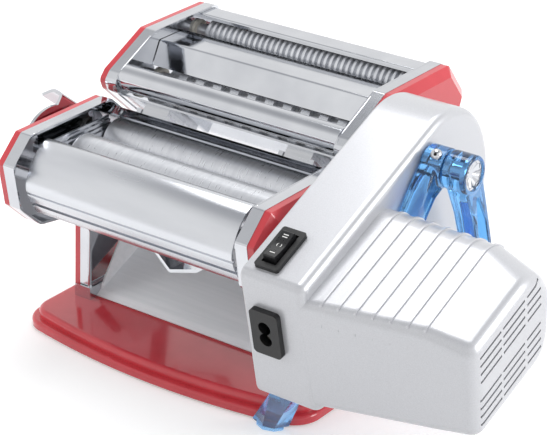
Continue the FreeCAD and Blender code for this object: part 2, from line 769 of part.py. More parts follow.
def make_side_guides():
    """Two stepped cheeks that close the ends of the rollers' mouth."""
    rear = REAR_ROLLER_Y - 2.0
    front = FRONT_ROLLER_Y - 20.0
    steps = []
    for level in range(GUIDE_LEVELS):
        x_from = ROLLER_LENGTH / 2.0 + 0.6 + GUIDE_STEP * level
        top = GUIDE_TOP - GUIDE_DROP * (GUIDE_LEVELS - 1 - level)
        steps.append(block(x_from, x_from + GUIDE_STEP, front, rear, GUIDE_TOP - GUIDE_DEPTH, top))
    journal_way = [
        rod(RIM_INNER - 5.0, RIM_OUTER, REAR_CENTRE, JOURNAL_RADIUS + 1.0),
        block(RIM_INNER - 5.0, RIM_OUTER, FRONT_ROLLER_Y - 7.2, FRONT_ROLLER_Y + 9.5,
              ROLLER_HEIGHT - 8.0, ROLLER_HEIGHT + 7.2),
    ]
    stem = block(ROLLER_LENGTH / 2.0 + 3.6, RIM_OUTER - WEB, front, front + 9.0, GUIDE_TOP - GUIDE_DEPTH,
                 GUIDE_TOP - GUIDE_DEPTH + 5.0)
    cheek = without(joined(steps + [stem]), journal_way)
    return solids_of([cheek, mirrored(cheek)])


def make_regulator():
    """Regulator: a stamped disc with a hub and a thumb tab bent outwards."""
    centre = FRONT_CENTRE
    outer_face = REGULATOR_FACE - REGULATOR_SHEET
    disc = rod(outer_face, REGULATOR_FACE, centre, REGULATOR_RADIUS)
    hub = rod(REGULATOR_FACE, -GEAR_FROM - GEAR_WIDTH - 2.7, centre, REGULATOR_HUB)
    foot, fold, tip = centre[1] + 15.0, centre[1] + 30.5, centre[1] + 27.0
    line = [(foot, REGULATOR_FACE), (fold, REGULATOR_FACE),
            (fold + 1.5, outer_face - 6.0), (tip, outer_face - 13.0)]
    thumb = upright_strip(strip(line, [0.0, 3.0, 7.0, 0.0], -REGULATOR_SHEET, 0.0, TAB_WIDTH), centre)
    holes = [rod(outer_face - 1.0, REGULATOR_FACE + 1.0, (centre[0] + 6.0, centre[1] + 26.0), 1.8)]
    for step in range(6):
        hole = rod(outer_face - 1.0, REGULATOR_FACE + 0.5, (centre[0], centre[1] + 18.0), 2.2)
        holes.append(turned(hole, centre, 60.0 + 36.0 * step))
    return turned(without(joined([disc, hub, thumb]), holes), centre, TAB_ANGLE)


def upright_strip(shape, centre):
    """Turn a strip drawn as (height, x) along X into one that runs along Y."""
    shape.rotate(V(0, 0, 0), V(1, 1, 1), 120.0)
    shape.translate(V(0.0, centre[0] - TAB_WIDTH / 2.0, 0.0))
    return shape


def grooved_roller(centre, ridge, core, pitch, ridge_width, offset, end):
    """Pasta cutter: a bar with square ridges and grooves, and its journals."""
    half = CUTTER_LENGTH / 2.0
    count = int((CUTTER_LENGTH - pitch) / pitch)
    first = -(count - 1) * pitch / 2.0 + offset
    profile = [(-GEAR_FROM - GEAR_WIDTH - 0.6, 0.0), (-GEAR_FROM - GEAR_WIDTH - 0.6, CUTTER_JOURNAL),
               (-half, CUTTER_JOURNAL), (-half, core)]
    for i in range(count):
        middle = first + i * pitch
        low, high = middle - ridge_width / 2.0, middle + ridge_width / 2.0
        profile += [(low, core), (low, ridge), (high, ridge), (high, core)]
    profile += [(half, core), (half, CUTTER_JOURNAL), (end, CUTTER_JOURNAL), (end, 0.0)]
    corners = [V(x, centre[0] + radius, centre[1]) for x, radius in profile]
    face = Part.Face(Part.makePolygon(corners + corners[:1]))
    return face.revolve(V(0.0, centre[0], centre[1]), V(1, 0, 0), 360.0)


def cutter_driver(centre, ridge, core, pitch, ridge_width):
    """Driven cutter with a square socket in its right journal."""
    body = grooved_roller(centre, ridge, core, pitch, ridge_width, pitch / 4.0, COVER_FACE - 2.0)
    slot = block(COVER_FACE - 10.0, COVER_FACE, centre[0] - 1.6, centre[0] + 1.6,
                 centre[1] - 6.0, centre[1] + 6.0)
    return body.cut(slot)


def cutter_idler(centre, ridge, core, pitch, ridge_width):
    """Second cutter of a pair, its ridges in the other's grooves."""
    return grooved_roller(centre, ridge, core, pitch, ridge_width, -pitch / 4.0, RIM_OUTER + 0.6)


def cutter_gear(centre, partner, teeth, is_driver):
    """Gear on the left journal of a cutter."""
    tooth_at = direction(centre, partner) if is_driver else gap_at(centre, partner, teeth)
    return gear(-GEAR_FROM - GEAR_WIDTH, -GEAR_FROM, centre, teeth, CUTTER_GEAR_MODULE,
                tooth_at, CUTTER_JOURNAL)


def make_cutter_bushes():
    """Eight bushes in the plates of the cutter head."""
    bushes = []
    for centre in CUTTER_SHAFTS:
        bush = ring(RIM_OUTER - WEB - 2.0, RIM_OUTER + 0.6, centre, CUTTER_BUSH_RADIUS,
                    CUTTER_JOURNAL + BEARING_PLAY)
        bushes += [bush, mirrored(bush)]
    return solids_of(bushes)


def comb(centre, ridge, core, pitch, ridge_width, offset, reach_y):
    """Comb under a cutter whose teeth lift the strips out of its grooves."""
    count = int((CUTTER_LENGTH - pitch) / pitch)
    first = -(count - 1) * pitch / 2.0 + offset
    low = centre[1] - ridge - COMB_DEPTH
    shoulder = centre[1] - ridge - 1.2
    tip = centre[1] - core - 0.5
    end = RIM_OUTER - WEB
    points = [(-end, low), (end, low), (end, shoulder)]
    for i in reversed(range(count - 1)):
        middle = first + (i + 0.5) * pitch
        half = (pitch - ridge_width) / 2.0 - 0.35
        points += [(middle + half, shoulder), (middle + half, tip),
                   (middle - half, tip), (middle - half, shoulder)]
    points.append((-end, shoulder))
    wire = Part.makePolygon([V(x, centre[0] + reach_y, z) for x, z in points + points[:1]])
    return Part.Face(wire).extrude(V(0, COMB_THICKNESS, 0))


def make_combs(driver, idler, ridge, core, pitch, ridge_width):
    """The two combs of one pair of cutters."""
    return solids_of([
        comb(driver, ridge, core, pitch, ridge_width, pitch / 4.0, 0.4),
        comb(idler, ridge, core, pitch, ridge_width, -pitch / 4.0, -0.4 - COMB_THICKNESS),
    ])


def make_front_tube():
    """Polished round tube along the front edge of the cutter head."""
    return ring(-RIM_INNER, RIM_INNER, TUBE_CENTRE, TUBE_RADIUS, TUBE_RADIUS - SHEET)


def make_middle_cover():
    """Folded sheet between the wide and the fine cutters."""
    return strip(MIDDLE_LINE, MIDDLE_ROUNDS, -SHEET, -HEAD_SHEET_HALF, HEAD_SHEET_HALF)


def make_head_rear_cover():
    """Folded sheet over the back of the cutter head."""
    return strip(REAR_LINE, REAR_ROUNDS, -SHEET, -HEAD_SHEET_HALF, HEAD_SHEET_HALF)


def housing_shell(x_from, x_to, closed_at):
    """Half of the gear housing, open where the halves meet."""
    outer = slab(HOUSING_OUTLINE, HOUSING_ROUNDS, x_from, x_to)
    rim = [e for e in outer.Edges if all(abs(v.X - closed_at) < 0.01 for v in e.Vertexes)]
    outer = outer.makeFillet(HOUSING_EDGE if closed_at > HOUSING_SEAM else HOUSING_INNER_EDGE, rim)
    hollow_from = x_from + HOUSING_WALL if closed_at < HOUSING_SEAM else x_from - 1.0
    hollow_to = x_to + 1.0 if closed_at < HOUSING_SEAM else x_to - HOUSING_WALL
    inner_rounds = [max(1.0, r - HOUSING_WALL) for r in HOUSING_ROUNDS]
    return outer.cut(slab(moved_in(HOUSING_OUTLINE, HOUSING_WALL), inner_rounds, hollow_from, hollow_to))


def on_line(start, end, share):
    """Point part of the way between two (y, z) points."""
    return start[0] + (end[0] - start[0]) * share, start[1] + (end[1] - start[1]) * share


FRONT_FOOT = HOUSING_OUTLINE[0]
FRONT_TOP = HOUSING_OUTLINE[3]
REAR_TOP = HOUSING_OUTLINE[2]
FRONT_LEAN = direction(FRONT_FOOT, FRONT_TOP) - 90.0
TOP_LEAN = direction(FRONT_TOP, REAR_TOP)
SWITCH_CENTRE = on_line(FRONT_TOP, REAR_TOP, SWITCH_SHARE)
INLET_CENTRE = on_line(FRONT_FOOT, FRONT_TOP, INLET_SHARE)


def on_top(shape):
    """Put a shape drawn flat at the origin on the sloping top of the housing."""
    placed = shape.copy()
    placed.rotate(V(0, 0, 0), V(1, 0, 0), TOP_LEAN)
    placed.translate(V(SWITCH_X, SWITCH_CENTRE[0], SWITCH_CENTRE[1]))
    return placed


def on_front(shape):
    """Put a shape drawn against the plane Y=0 on the front of the housing."""
    placed = shape.copy()
    placed.rotate(V(0, 0, 0), V(1, 0, 0), FRONT_LEAN)
    placed.translate(V(INLET_X, INLET_CENTRE[0], INLET_CENTRE[1]))
    return placed


def switch_body():
    """Body of the switch, which fills its hole in the housing."""
    return on_top(block(-SWITCH_BODY_WIDTH / 2.0, SWITCH_BODY_WIDTH / 2.0, -SWITCH_BODY_LENGTH / 2.0,
                        SWITCH_BODY_LENGTH / 2.0, -SWITCH_BODY_DEPTH, SWITCH_FLANGE))


def inlet_body():
    """Body of the mains inlet, which fills its hole in the housing."""
    return on_front(block(-INLET_BODY_WIDTH / 2.0, INLET_BODY_WIDTH / 2.0, -INLET_FLANGE, INLET_BODY_DEPTH,
                          -INLET_BODY_HEIGHT / 2.0, INLET_BODY_HEIGHT / 2.0))


def make_inner_housing():
    """Inner half of the gear housing, next to the machine."""
    shell = housing_shell(HOUSING_INNER, HOUSING_SEAM, HOUSING_INNER)
    return without(shell, [
        rod(HOUSING_INNER - 1.0, HOUSING_INNER + HOUSING_WALL + 1.0, OUTPUT_AXIS, OUTPUT_BUSH),
        switch_body(),
        inlet_body(),
    ])


def block_loft(sections, inset):
    """Tapering body through (x, outline, rounds) sections, moved inwards by inset."""
    wires = []
    for x, points, rounds in sections:
        corners = moved_in(points, inset) if inset else points
        wires.append(outline(corners, [max(1.0, r - inset) for r in rounds], side(x)))
    return Part.makeLoft(wires, True, True)


def casing_section(x):
    """Outline and rounds of the motor block at one x."""
    share = (x - CASING_FROM) / (BLOCK_SEAM - CASING_FROM)
    points = [on_line(a, b, share) for a, b in zip(CASING_START, CASING_STOP)]
    rounds = [a + (b - a) * share for a, b in zip(CASING_START_ROUNDS, CASING_STOP_ROUNDS)]
    return x, points, rounds


def casing(x_from, x_to, inset):
    """Stretch of the motor block between two x."""
    return block_loft([casing_section(x_from), casing_section(x_to)], inset)


def rib(x):
    """Raised rib across the top of the motor block."""
    points = casing_section(x)[1]
    band = casing(x - RIB_WIDTH / 2.0, x + RIB_WIDTH / 2.0, -RIB_HEIGHT)
    core = casing(x - RIB_WIDTH, x + RIB_WIDTH, RIB_SINK)
    window = block(x - RIB_WIDTH, x + RIB_WIDTH, points[3][0] + 2.0, points[2][0] - 5.0,
                   points[3][1] - 12.0, points[2][1] + 10.0)
    return band.cut(core).common(window)


def make_outer_housing():
    """Outer half of the gear housing in one moulding with the ribbed motor block."""
    shell = housing_shell(HOUSING_SEAM, HOUSING_OUTER, HOUSING_OUTER)
    pitch = (BLOCK_SEAM - RIB_WIDTH - RIB_FIRST) / (RIB_COUNT - 1)
    ribs = [rib(RIB_FIRST + i * pitch) for i in range(RIB_COUNT)]
    body = joined([shell, casing(CASING_FROM, BLOCK_SEAM, 0.0)] + ribs)
    room = casing(CASING_FROM - 1.0, BLOCK_SEAM + 1.0, HOUSING_WALL)
    screw_hole = rod(HOUSING_OUTER - 5.0, HOUSING_OUTER + 1.0, HUB_AXIS, HUB_SCREW_RADIUS)
    return without(body, [room, switch_body(), inlet_body(), screw_hole])


def cap_body(x_from, x_to, inset, edge):
    """Body of the end cap with its end face rounded off."""
    body = block_loft([(x_from, CASING_STOP, CASING_STOP_ROUNDS), (x_to, CAP_STOP, CAP_STOP_ROUNDS)], inset)
    rim = [e for e in body.Edges if all(abs(v.X - x_to) < 0.01 for v in e.Vertexes)]
    return body.makeFillet(edge, rim)


def vent_slots():
    """Slots of the end cap, in rows along the slope of its top."""
    slots = []
    for row in range(2 * VENT_ROWS):
        drop = row * VENT_PITCH + (VENT_BAND - VENT_PITCH if row >= VENT_ROWS else 0.0)
        start = (VENT_START[0] + VENT_SHIFT * row, VENT_START[1] - drop)
        for low, high in VENT_PIECES:
            slot = block(BLOCK_END - VENT_DEPTH, BLOCK_END + 1.0,
                         start[0] + low * VENT_REACH, start[0] + high * VENT_REACH,
                         start[1] - VENT_HEIGHT / 2.0, start[1] + VENT_HEIGHT / 2.0)
            slots.append(turned(slot, start, direction(CAP_STOP[3], CAP_STOP[2])))
    return slots


def make_end_cap():
    """End cap of the motor block with rows of air slots."""
    shell = cap_body(BLOCK_SEAM, BLOCK_END, 0.0, CAP_EDGE)
    room = cap_body(BLOCK_SEAM - 1.0, BLOCK_END - HOUSING_WALL, HOUSING_WALL, CAP_EDGE - HOUSING_WALL)
    return without(shell.cut(room), vent_slots())


def make_switch_bezel():
    """Frame and body of the three-way switch, with holes for the rocker's pins."""
    flange = block(-SWITCH_WIDTH / 2.0, SWITCH_WIDTH / 2.0, -SWITCH_LENGTH / 2.0, SWITCH_LENGTH / 2.0,
                   0.0, SWITCH_FLANGE)
    upright = [e for e in flange.Edges if abs(e.Vertexes[0].Z - e.Vertexes[-1].Z) > 1.0]
    flange = flange.makeFillet(1.5, upright)
    half_width = ROCKER_WIDTH / 2.0 + ROCKER_GAP
    half_length = ROCKER_LENGTH / 2.0 + ROCKER_GAP
    well = block(-half_width, half_width, -half_length, half_length, -WELL_DEPTH, SWITCH_FLANGE + 1.0)
    pin_hole = rod(-ROCKER_PIN_REACH - 0.1, ROCKER_PIN_REACH + 0.1, ROCKER_PIVOT, ROCKER_PIN_RADIUS + 0.1)
    return without(on_top(flange).fuse(switch_body()), [on_top(well), on_top(pin_hole)])


def make_rocker():
    """Rocker with a shallow V top and two pins, about which it tips."""
    half = ROCKER_LENGTH / 2.0
    points = [(-half, 0.0), (-half + 0.8, ROCKER_TOP), (0.0, ROCKER_TOP - ROCKER_DIP),
              (half - 0.8, ROCKER_TOP), (half, 0.0), (3.5, ROCKER_LOW), (-3.5, ROCKER_LOW)]
    body = slab(points, [0.4, 0.6, 14.0, 0.6, 0.4, 1.0, 1.0], -ROCKER_WIDTH / 2.0, ROCKER_WIDTH / 2.0)
    pins = rod(-ROCKER_PIN_REACH, ROCKER_PIN_REACH, ROCKER_PIVOT, ROCKER_PIN_RADIUS)
    return on_top(joined([body, pins]))


def figure_eight(y_from, y_to):
    """Two-lobed well of the mains inlet, upright on the front."""
    lobes = []
    for dz in (-LOBE_OFFSET, LOBE_OFFSET):
        lobes.append(Part.makeCylinder(LOBE_RADIUS, y_to - y_from, V(0.0, y_from, dz), V(0, 1, 0)))
    return joined(lobes)


def make_inlet():
    """Mains inlet with a rounded flange and a two-lobed well."""
    flange = block(-INLET_WIDTH / 2.0, INLET_WIDTH / 2.0, -INLET_FLANGE, 0.0, -INLET_HEIGHT / 2.0,
                   INLET_HEIGHT / 2.0)
    across = [e for e in flange.Edges if abs(e.Vertexes[0].Y - e.Vertexes[-1].Y) > 1.0]
    flange = flange.makeFillet(2.5, across)
    well = figure_eight(-INLET_FLANGE - 1.0, PIN_LENGTH)
    return on_front(flange).fuse(inlet_body()).cut(on_front(well))


def make_inlet_pins():
    """Two round contact pins of the mains inlet."""
    pins = []
    for dz in (-PIN_OFFSET, PIN_OFFSET):
        pins.append(on_front(Part.makeCylinder(PIN_RADIUS, PIN_LENGTH, V(0.0, 0.0, dz), V(0, 1, 0))))
    return solids_of(pins)


def reduction_axis():
    """Axis of the reduction shaft, placed by its two meshes."""
    near = (MOTOR_TEETH + LARGE_TEETH) * TRAIN_MODULE / 2.0
    far = (PINION_TEETH + OUTPUT_TEETH) * TRAIN_MODULE / 2.0
    span = math.dist(MOTOR_AXIS, OUTPUT_AXIS)
    along = (near ** 2 - far ** 2 + span ** 2) / (2.0 * span)
    rise = math.sqrt(near ** 2 - along ** 2)
    uy, uz = unit(OUTPUT_AXIS[0] - MOTOR_AXIS[0], OUTPUT_AXIS[1] - MOTOR_AXIS[1])
    return MOTOR_AXIS[0] + uy * along - uz * rise, MOTOR_AXIS[1] + uz * along + uy * rise


def make_stator():
    """Laminated stator with a coil winding on each side."""
    stack = ring(STACK_FROM, STACK_TO, MOTOR_AXIS, STATOR_RADIUS, ROTOR_RADIUS + AIR_GAP)
    coils = ring(STACK_FROM - COIL_OVERHANG, STACK_TO + COIL_OVERHANG, MOTOR_AXIS, STATOR_RADIUS - 3.0,
                 ROTOR_RADIUS + 2.5)
    return joined([stack, coils])


def make_motor_plate():
    """Bearing plate across the mouth of the motor block, which carries the stator."""
    plate = casing(PLATE_FROM, PLATE_TO, HOUSING_WALL + PLATE_PLAY)
    bore = rod(PLATE_FROM - 1.0, PLATE_TO + 1.0, MOTOR_AXIS, MOTOR_SHAFT_RADIUS + 0.06)
    posts = []
    for angle in (45.0, 135.0, 225.0, 315.0):
        post = rod(PLATE_TO - 0.5, STACK_FROM, (MOTOR_AXIS[0] + STATOR_RADIUS - 1.4, MOTOR_AXIS[1]), 1.2)
        posts.append(turned(post, MOTOR_AXIS, angle))
    return joined([plate.cut(bore)] + posts)


def make_rotor():
    """Rotor on its shaft, with the small pinion cut at the inner end."""
    shaft = rod(HOUSING_INNER + HOUSING_WALL + 12.0, BLOCK_END - 8.0, MOTOR_AXIS, MOTOR_SHAFT_RADIUS)
    core = rod(STACK_FROM, STACK_TO, MOTOR_AXIS, ROTOR_RADIUS)
    tooth_at = gap_at(MOTOR_AXIS, reduction_axis(), MOTOR_TEETH)
    pinion = gear(HOUSING_SEAM + 1.0, HOUSING_SEAM + 9.0, MOTOR_AXIS, MOTOR_TEETH, TRAIN_MODULE,
                  tooth_at, MOTOR_SHAFT_RADIUS - 0.5)
    return joined([shaft, core, pinion])


def make_fan():
    """Cooling fan on the outer end of the rotor shaft."""
    hub = ring(FAN_FROM, FAN_FROM + 10.0, MOTOR_AXIS, 6.0, MOTOR_SHAFT_RADIUS)
    disc = ring(FAN_FROM, FAN_FROM + 1.4, MOTOR_AXIS, FAN_RADIUS + 0.5, 5.0)
    blades = []
    for i in range(FAN_BLADES):
        blade = block(FAN_FROM + 1.0, FAN_FROM + 9.0, MOTOR_AXIS[0] + 5.0, MOTOR_AXIS[0] + FAN_RADIUS,
                      MOTOR_AXIS[1] - 0.6, MOTOR_AXIS[1] + 0.6)
        blades.append(turned(blade, MOTOR_AXIS, 360.0 / FAN_BLADES * i))
    return joined([hub, disc] + blades)


def make_reduction_gear():
    """Reduction shaft: a large gear driven by the rotor and a pinion on one shaft."""
    centre = reduction_axis()
    wall = HOUSING_INNER + HOUSING_WALL
    shaft = rod(wall + 0.3, HOUSING_SEAM + 12.0, centre, REDUCTION_SHAFT_RADIUS)
    large = gear(HOUSING_SEAM + 2.0, HOUSING_SEAM + 8.0, centre, LARGE_TEETH, TRAIN_MODULE,
                 direction(centre, MOTOR_AXIS), REDUCTION_SHAFT_RADIUS - 0.5)
    pinion = gear(wall + 2.0, HOUSING_SEAM - 2.0, centre, PINION_TEETH, TRAIN_MODULE,
                  direction(centre, OUTPUT_AXIS), REDUCTION_SHAFT_RADIUS - 0.5)
    return joined([shaft, large, pinion])


def make_output_shaft():
    """Output gear on its shaft, with the tongue that enters the roller's slot."""
    wheel = gear(HOUSING_INNER + HOUSING_WALL + 3.0, HOUSING_INNER + HOUSING_WALL + 11.0, OUTPUT_AXIS,
                 OUTPUT_TEETH, TRAIN_MODULE, gap_at(OUTPUT_AXIS, reduction_axis(), OUTPUT_TEETH), 5.0)
    shaft = rod(COVER_FACE - 0.4, HOUSING_OUTER - HOUSING_WALL - 0.4, OUTPUT_AXIS, OUTPUT_SHAFT_RADIUS)
    tongue_half = DRIVE_SLOT_WIDTH / 2.0 - 0.2
    tongue = block(COVER_FACE - DRIVE_SLOT_DEPTH + 0.5, COVER_FACE, REAR_ROLLER_Y - tongue_half,
                   REAR_ROLLER_Y + tongue_half, ROLLER_HEIGHT - 5.0, ROLLER_HEIGHT + 5.0)
    tongue = tongue.common(rod(COVER_FACE - DRIVE_SLOT_DEPTH, COVER_FACE, OUTPUT_AXIS, 5.5))
    return joined([wheel, shaft, tongue])


def make_gear_bearings():
    """Bushes for the output and the reduction shafts, and the post behind the latter."""
    wall = HOUSING_INNER + HOUSING_WALL
    centre = reduction_axis()
    output = ring(HOUSING_INNER, HOUSING_INNER + 4.0, OUTPUT_AXIS, OUTPUT_BUSH,
                  OUTPUT_SHAFT_RADIUS + BEARING_PLAY)
    reduction = ring(wall, wall + 1.6, centre, 5.0, REDUCTION_SHAFT_RADIUS + BEARING_PLAY)
    post = rod(HOUSING_SEAM + 9.0, PLATE_FROM, centre, 6.0)
    bore = rod(HOUSING_SEAM + 8.0, HOUSING_SEAM + 13.0, centre, REDUCTION_SHAFT_RADIUS + BEARING_PLAY)
    return solids_of([output, reduction, post.cut(bore)])


def arm(x_from, x_to, start, end, start_half, end_half):
    """Flat arm between two (y, z) points, tapering in width."""
    uy, uz = unit(end[0] - start[0], end[1] - start[1])
    corners = [
        (start[0] - uz * start_half, start[1] + uy * start_half),
        (start[0] + uz * start_half, start[1] - uy * start_half),
        (end[0] + uz * end_half, end[1] - uy * end_half),
        (end[0] - uz * end_half, end[1] + uy * end_half),
    ]
    return slab(corners, 0.0, x_from, x_to)


def make_support_bracket():
    """Clear blue arm fixed to the housing, with the inner half of the hub."""
    x_from, x_to = HUB_INNER
    hub = rod(x_from, x_to, HUB_AXIS, HUB_RADIUS)
    limb = arm(x_from, x_to - 2.0, HUB_AXIS, BRACKET_END, 9.0, 7.0)
    body = joined([hub, limb])
    bore = rod(x_from - 1.0, x_to + 1.0, HUB_AXIS, HUB_BORE)
    return without(body, [casing(CASING_FROM, BLOCK_SEAM, 0.0), bore, make_ball_screw()])


def make_support_leg():
    """Clear blue leg on the outer half of the hub, with a foot on the table."""
    x_from, x_to = HUB_OUTER
    hub = rod(x_from, x_to, HUB_AXIS, HUB_RADIUS)
    limb = arm(x_from + 1.0, x_to - 1.0, HUB_AXIS, on_line(HUB_AXIS, LEG_FOOT, 0.98), 9.0, 6.5)
    web_cut = arm(x_from + 5.0, x_to, on_line(HUB_AXIS, LEG_FOOT, 0.12), on_line(HUB_AXIS, LEG_FOOT, 0.9),
                  6.0, 4.0)
    sole = block(x_from - 2.0, x_to + 2.0, LEG_FOOT[0] - 12.0, LEG_FOOT[0] + 11.0, 0.0, 4.5)
    recess = rod(x_to - 4.0, x_to + 1.0, HUB_AXIS, 8.6)
    bore = rod(x_from - 1.0, x_to + 1.0, HUB_AXIS, HUB_BORE)
    return without(joined([hub, limb.cut(web_cut), sole]), [recess, bore])


def make_hub_screw():
    """Clamping screw of the hub, with a star head in the leg's recess."""
    stem = rod(HOUSING_OUTER - HOUSING_WALL - 4.0, HUB_OUTER[1] - 4.0, HUB_AXIS, HUB_SCREW_RADIUS)
    thick = rod(HUB_INNER[0], HUB_OUTER[1] - 4.0, HUB_AXIS, HUB_BORE - BEARING_PLAY)
    head = rod(HUB_OUTER[1] - 4.0, HUB_OUTER[1] - 1.0, HUB_AXIS, 6.0)
    return joined([stem, thick, head])


def make_ball_screw():
    """Ball-headed screw that holds the pivot in the bracket's hub, set in radially."""
    centre = V(*BALL_CENTRE)
    inward = V(0.0, HUB_AXIS[0] - centre.y, HUB_AXIS[1] - centre.z)
    pin = Part.makeCylinder(1.6, inward.Length - 4.5, centre, inward)
    return joined([Part.makeSphere(BALL_RADIUS, centre), pin])


def make_front_foot():
    """Clear blue foot under the front of the housing, splayed towards the base."""
    near, far = [on_line(HOUSING_OUTLINE[0], HOUSING_OUTLINE[1], share) for share in FOOT_TOP_SHARES]
    left, right = FOOT_TOP_X
    upper = [V(left, far[0], far[1]), V(left, near[0], near[1]),
             V(right, near[0], near[1]), V(right, far[0], far[1])]
    lower = [V(x, y, PAD_HEIGHT - 1.0) for x, y in PAD_CORNERS]
    limb = Part.makeLoft([Part.makePolygon(ring_of + ring_of[:1]) for ring_of in (lower, upper)], True, True)
    pad = Part.Face(outline(PAD_CORNERS, 1.5, plan(0.0))).extrude(V(0.0, 0.0, PAD_HEIGHT))
    return joined([limb, pad])


NODES = {
    "base_plate": make_base,
    "base_board": make_base_board,
    "left_side_plate": lambda: mirrored(body_plate()),
    "right_side_plate": body_plate,
    "left_side_cover": left_cover,
    "right_side_cover": right_cover,
    "front_cover": make_front_cover,
    "rear_cover": make_rear_cover,
    "chute_plate": make_chute,
    "leg_clips": make_leg_clips,
    "tie_rods": make_tie_rods,
    "centre_bracket": make_centre_bracket,
    "side_guides": make_side_guides,
    "rear_scraper": lambda: make_scraper(-13.0, 6.0, 1.0),
    "front_scraper": lambda: make_scraper(-52.0, -37.0, -1.0),
    "roller_bushes": make_roller_bushes,
    "rear_roller": make_rear_roller,
    "rear_roller_gear": lambda: make_roller_gear(True),
    "roller_carriage": make_roller_carriage,
    "front_roller": make_front_roller,
    "front_roller_gear": lambda: make_roller_gear(False),
    "thickness_regulator": make_regulator,
    "left_cutter_plate": lambda: mirrored(head_plate()),
    "right_cutter_plate": head_plate,
    "left_cutter_cover": lambda: mirrored(head_cover(False)),
    "right_cutter_cover": lambda: head_cover(True),
    "front_cutter_tube": make_front_tube,
    "middle_cutter_cover": make_middle_cover,
    "rear_cutter_cover": make_head_rear_cover,
    "lower_cutter_strip": make_lower_strip,
    "cutter_tie_rods": make_head_rods,
    "cutter_rails": make_cutter_rails,
    "cutter_bushes": make_cutter_bushes,
    "wide_combs": lambda: make_combs(WIDE_DRIVER, WIDE_IDLER, WIDE_RIDGE, WIDE_CORE, WIDE_PITCH,
                                     WIDE_RIDGE_WIDTH),
    "fine_combs": lambda: make_combs(FINE_DRIVER, FINE_IDLER, FINE_RIDGE, FINE_CORE, FINE_PITCH,
                                     FINE_RIDGE_WIDTH),
    "wide_cutter_driver": lambda: cutter_driver(WIDE_DRIVER, WIDE_RIDGE, WIDE_CORE, WIDE_PITCH,
                                                WIDE_RIDGE_WIDTH),
    "wide_cutter_idler": lambda: cutter_idler(WIDE_IDLER, WIDE_RIDGE, WIDE_CORE, WIDE_PITCH,
                                              WIDE_RIDGE_WIDTH),
    "fine_cutter_driver": lambda: cutter_driver(FINE_DRIVER, FINE_RIDGE, FINE_CORE, FINE_PITCH,
                                                FINE_RIDGE_WIDTH),
    "fine_cutter_idler": lambda: cutter_idler(FINE_IDLER, FINE_RIDGE, FINE_CORE, FINE_PITCH,
                                              FINE_RIDGE_WIDTH),
    "wide_driver_gear": lambda: cutter_gear(WIDE_DRIVER, WIDE_IDLER, WIDE_GEAR_TEETH, True),
    "wide_idler_gear": lambda: cutter_gear(WIDE_IDLER, WIDE_DRIVER, WIDE_GEAR_TEETH, False),
    "fine_driver_gear": lambda: cutter_gear(FINE_DRIVER, FINE_IDLER, FINE_GEAR_TEETH, True),
    "fine_idler_gear": lambda: cutter_gear(FINE_IDLER, FINE_DRIVER, FINE_GEAR_TEETH, False),
    "motor_inner_housing": make_inner_housing,
    "motor_outer_housing": make_outer_housing,
    "motor_end_cap": make_end_cap,
    "switch_bezel": make_switch_bezel,
    "rocker_switch": make_rocker,
    "inlet_socket": make_inlet,
    "inlet_pins": make_inlet_pins,
    "motor_stator": make_stator,
    "motor_plate": make_motor_plate,
    "motor_rotor": lambda: joined([make_rotor(), make_fan()]),
    "reduction_gear": make_reduction_gear,
    "output_shaft": make_output_shaft,
    "gear_bearings": make_gear_bearings,
    "support_bracket": make_support_bracket,
    "support_leg": make_support_leg,
    "hub_screws": lambda: solids_of([make_hub_screw(), make_ball_screw()]),
    "front_foot": make_front_foot,
}

os.makedirs("parts", exist_ok=True)
for name, build in NODES.items():
    shape = build()
    shape.exportStep("parts/" + name + ".step")
    print(name, len(shape.Solids), "solids", round(shape.Volume / 1000.0, 2), "cm3", shape.isValid())
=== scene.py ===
"""Electric pasta maker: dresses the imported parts, models the fine pieces and sets up the studio."""

import logging
import math
from collections.abc import Callable, Sequence
from dataclasses import dataclass
from enum import Enum

import bpy
from mathutils import Matrix, Vector


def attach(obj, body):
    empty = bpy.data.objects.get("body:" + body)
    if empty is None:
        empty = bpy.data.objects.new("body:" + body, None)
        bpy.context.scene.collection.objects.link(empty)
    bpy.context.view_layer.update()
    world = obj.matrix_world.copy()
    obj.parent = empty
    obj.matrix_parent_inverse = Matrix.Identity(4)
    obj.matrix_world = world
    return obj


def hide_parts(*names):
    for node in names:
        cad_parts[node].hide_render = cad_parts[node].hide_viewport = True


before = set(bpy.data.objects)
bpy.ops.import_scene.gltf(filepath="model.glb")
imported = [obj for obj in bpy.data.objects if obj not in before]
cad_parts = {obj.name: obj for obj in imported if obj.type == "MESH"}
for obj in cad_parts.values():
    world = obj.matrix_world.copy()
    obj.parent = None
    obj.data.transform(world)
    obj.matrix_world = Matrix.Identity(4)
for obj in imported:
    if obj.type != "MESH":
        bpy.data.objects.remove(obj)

LOG = logging.getLogger("pasta_maker")
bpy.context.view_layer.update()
MM = 0.001
HAIR = 1e-6  # metres between two points that count as one when they are picked
SKIN = 0.01  # millimetres inside a face that still count as on it
DOUBLES = 0.01  # millimetres between points that are merged
ALONG_X = (0.0, math.pi / 2.0, 0.0)
WHITE = (1.0, 1.0, 1.0, 1.0)
HUB_AXIS = (0.0, 149.0)  # (y, z) of the hub that the bracket, the leg and their screws share
MIX_FIRST, MIX_SECOND, MIX_OUT = "6", "7", 2  # a mix node's sockets when it mixes colours

Settings = dict[str, object]
Links = dict[str, bpy.types.NodeSocket]
Line = tuple[tuple[float, float], ...]


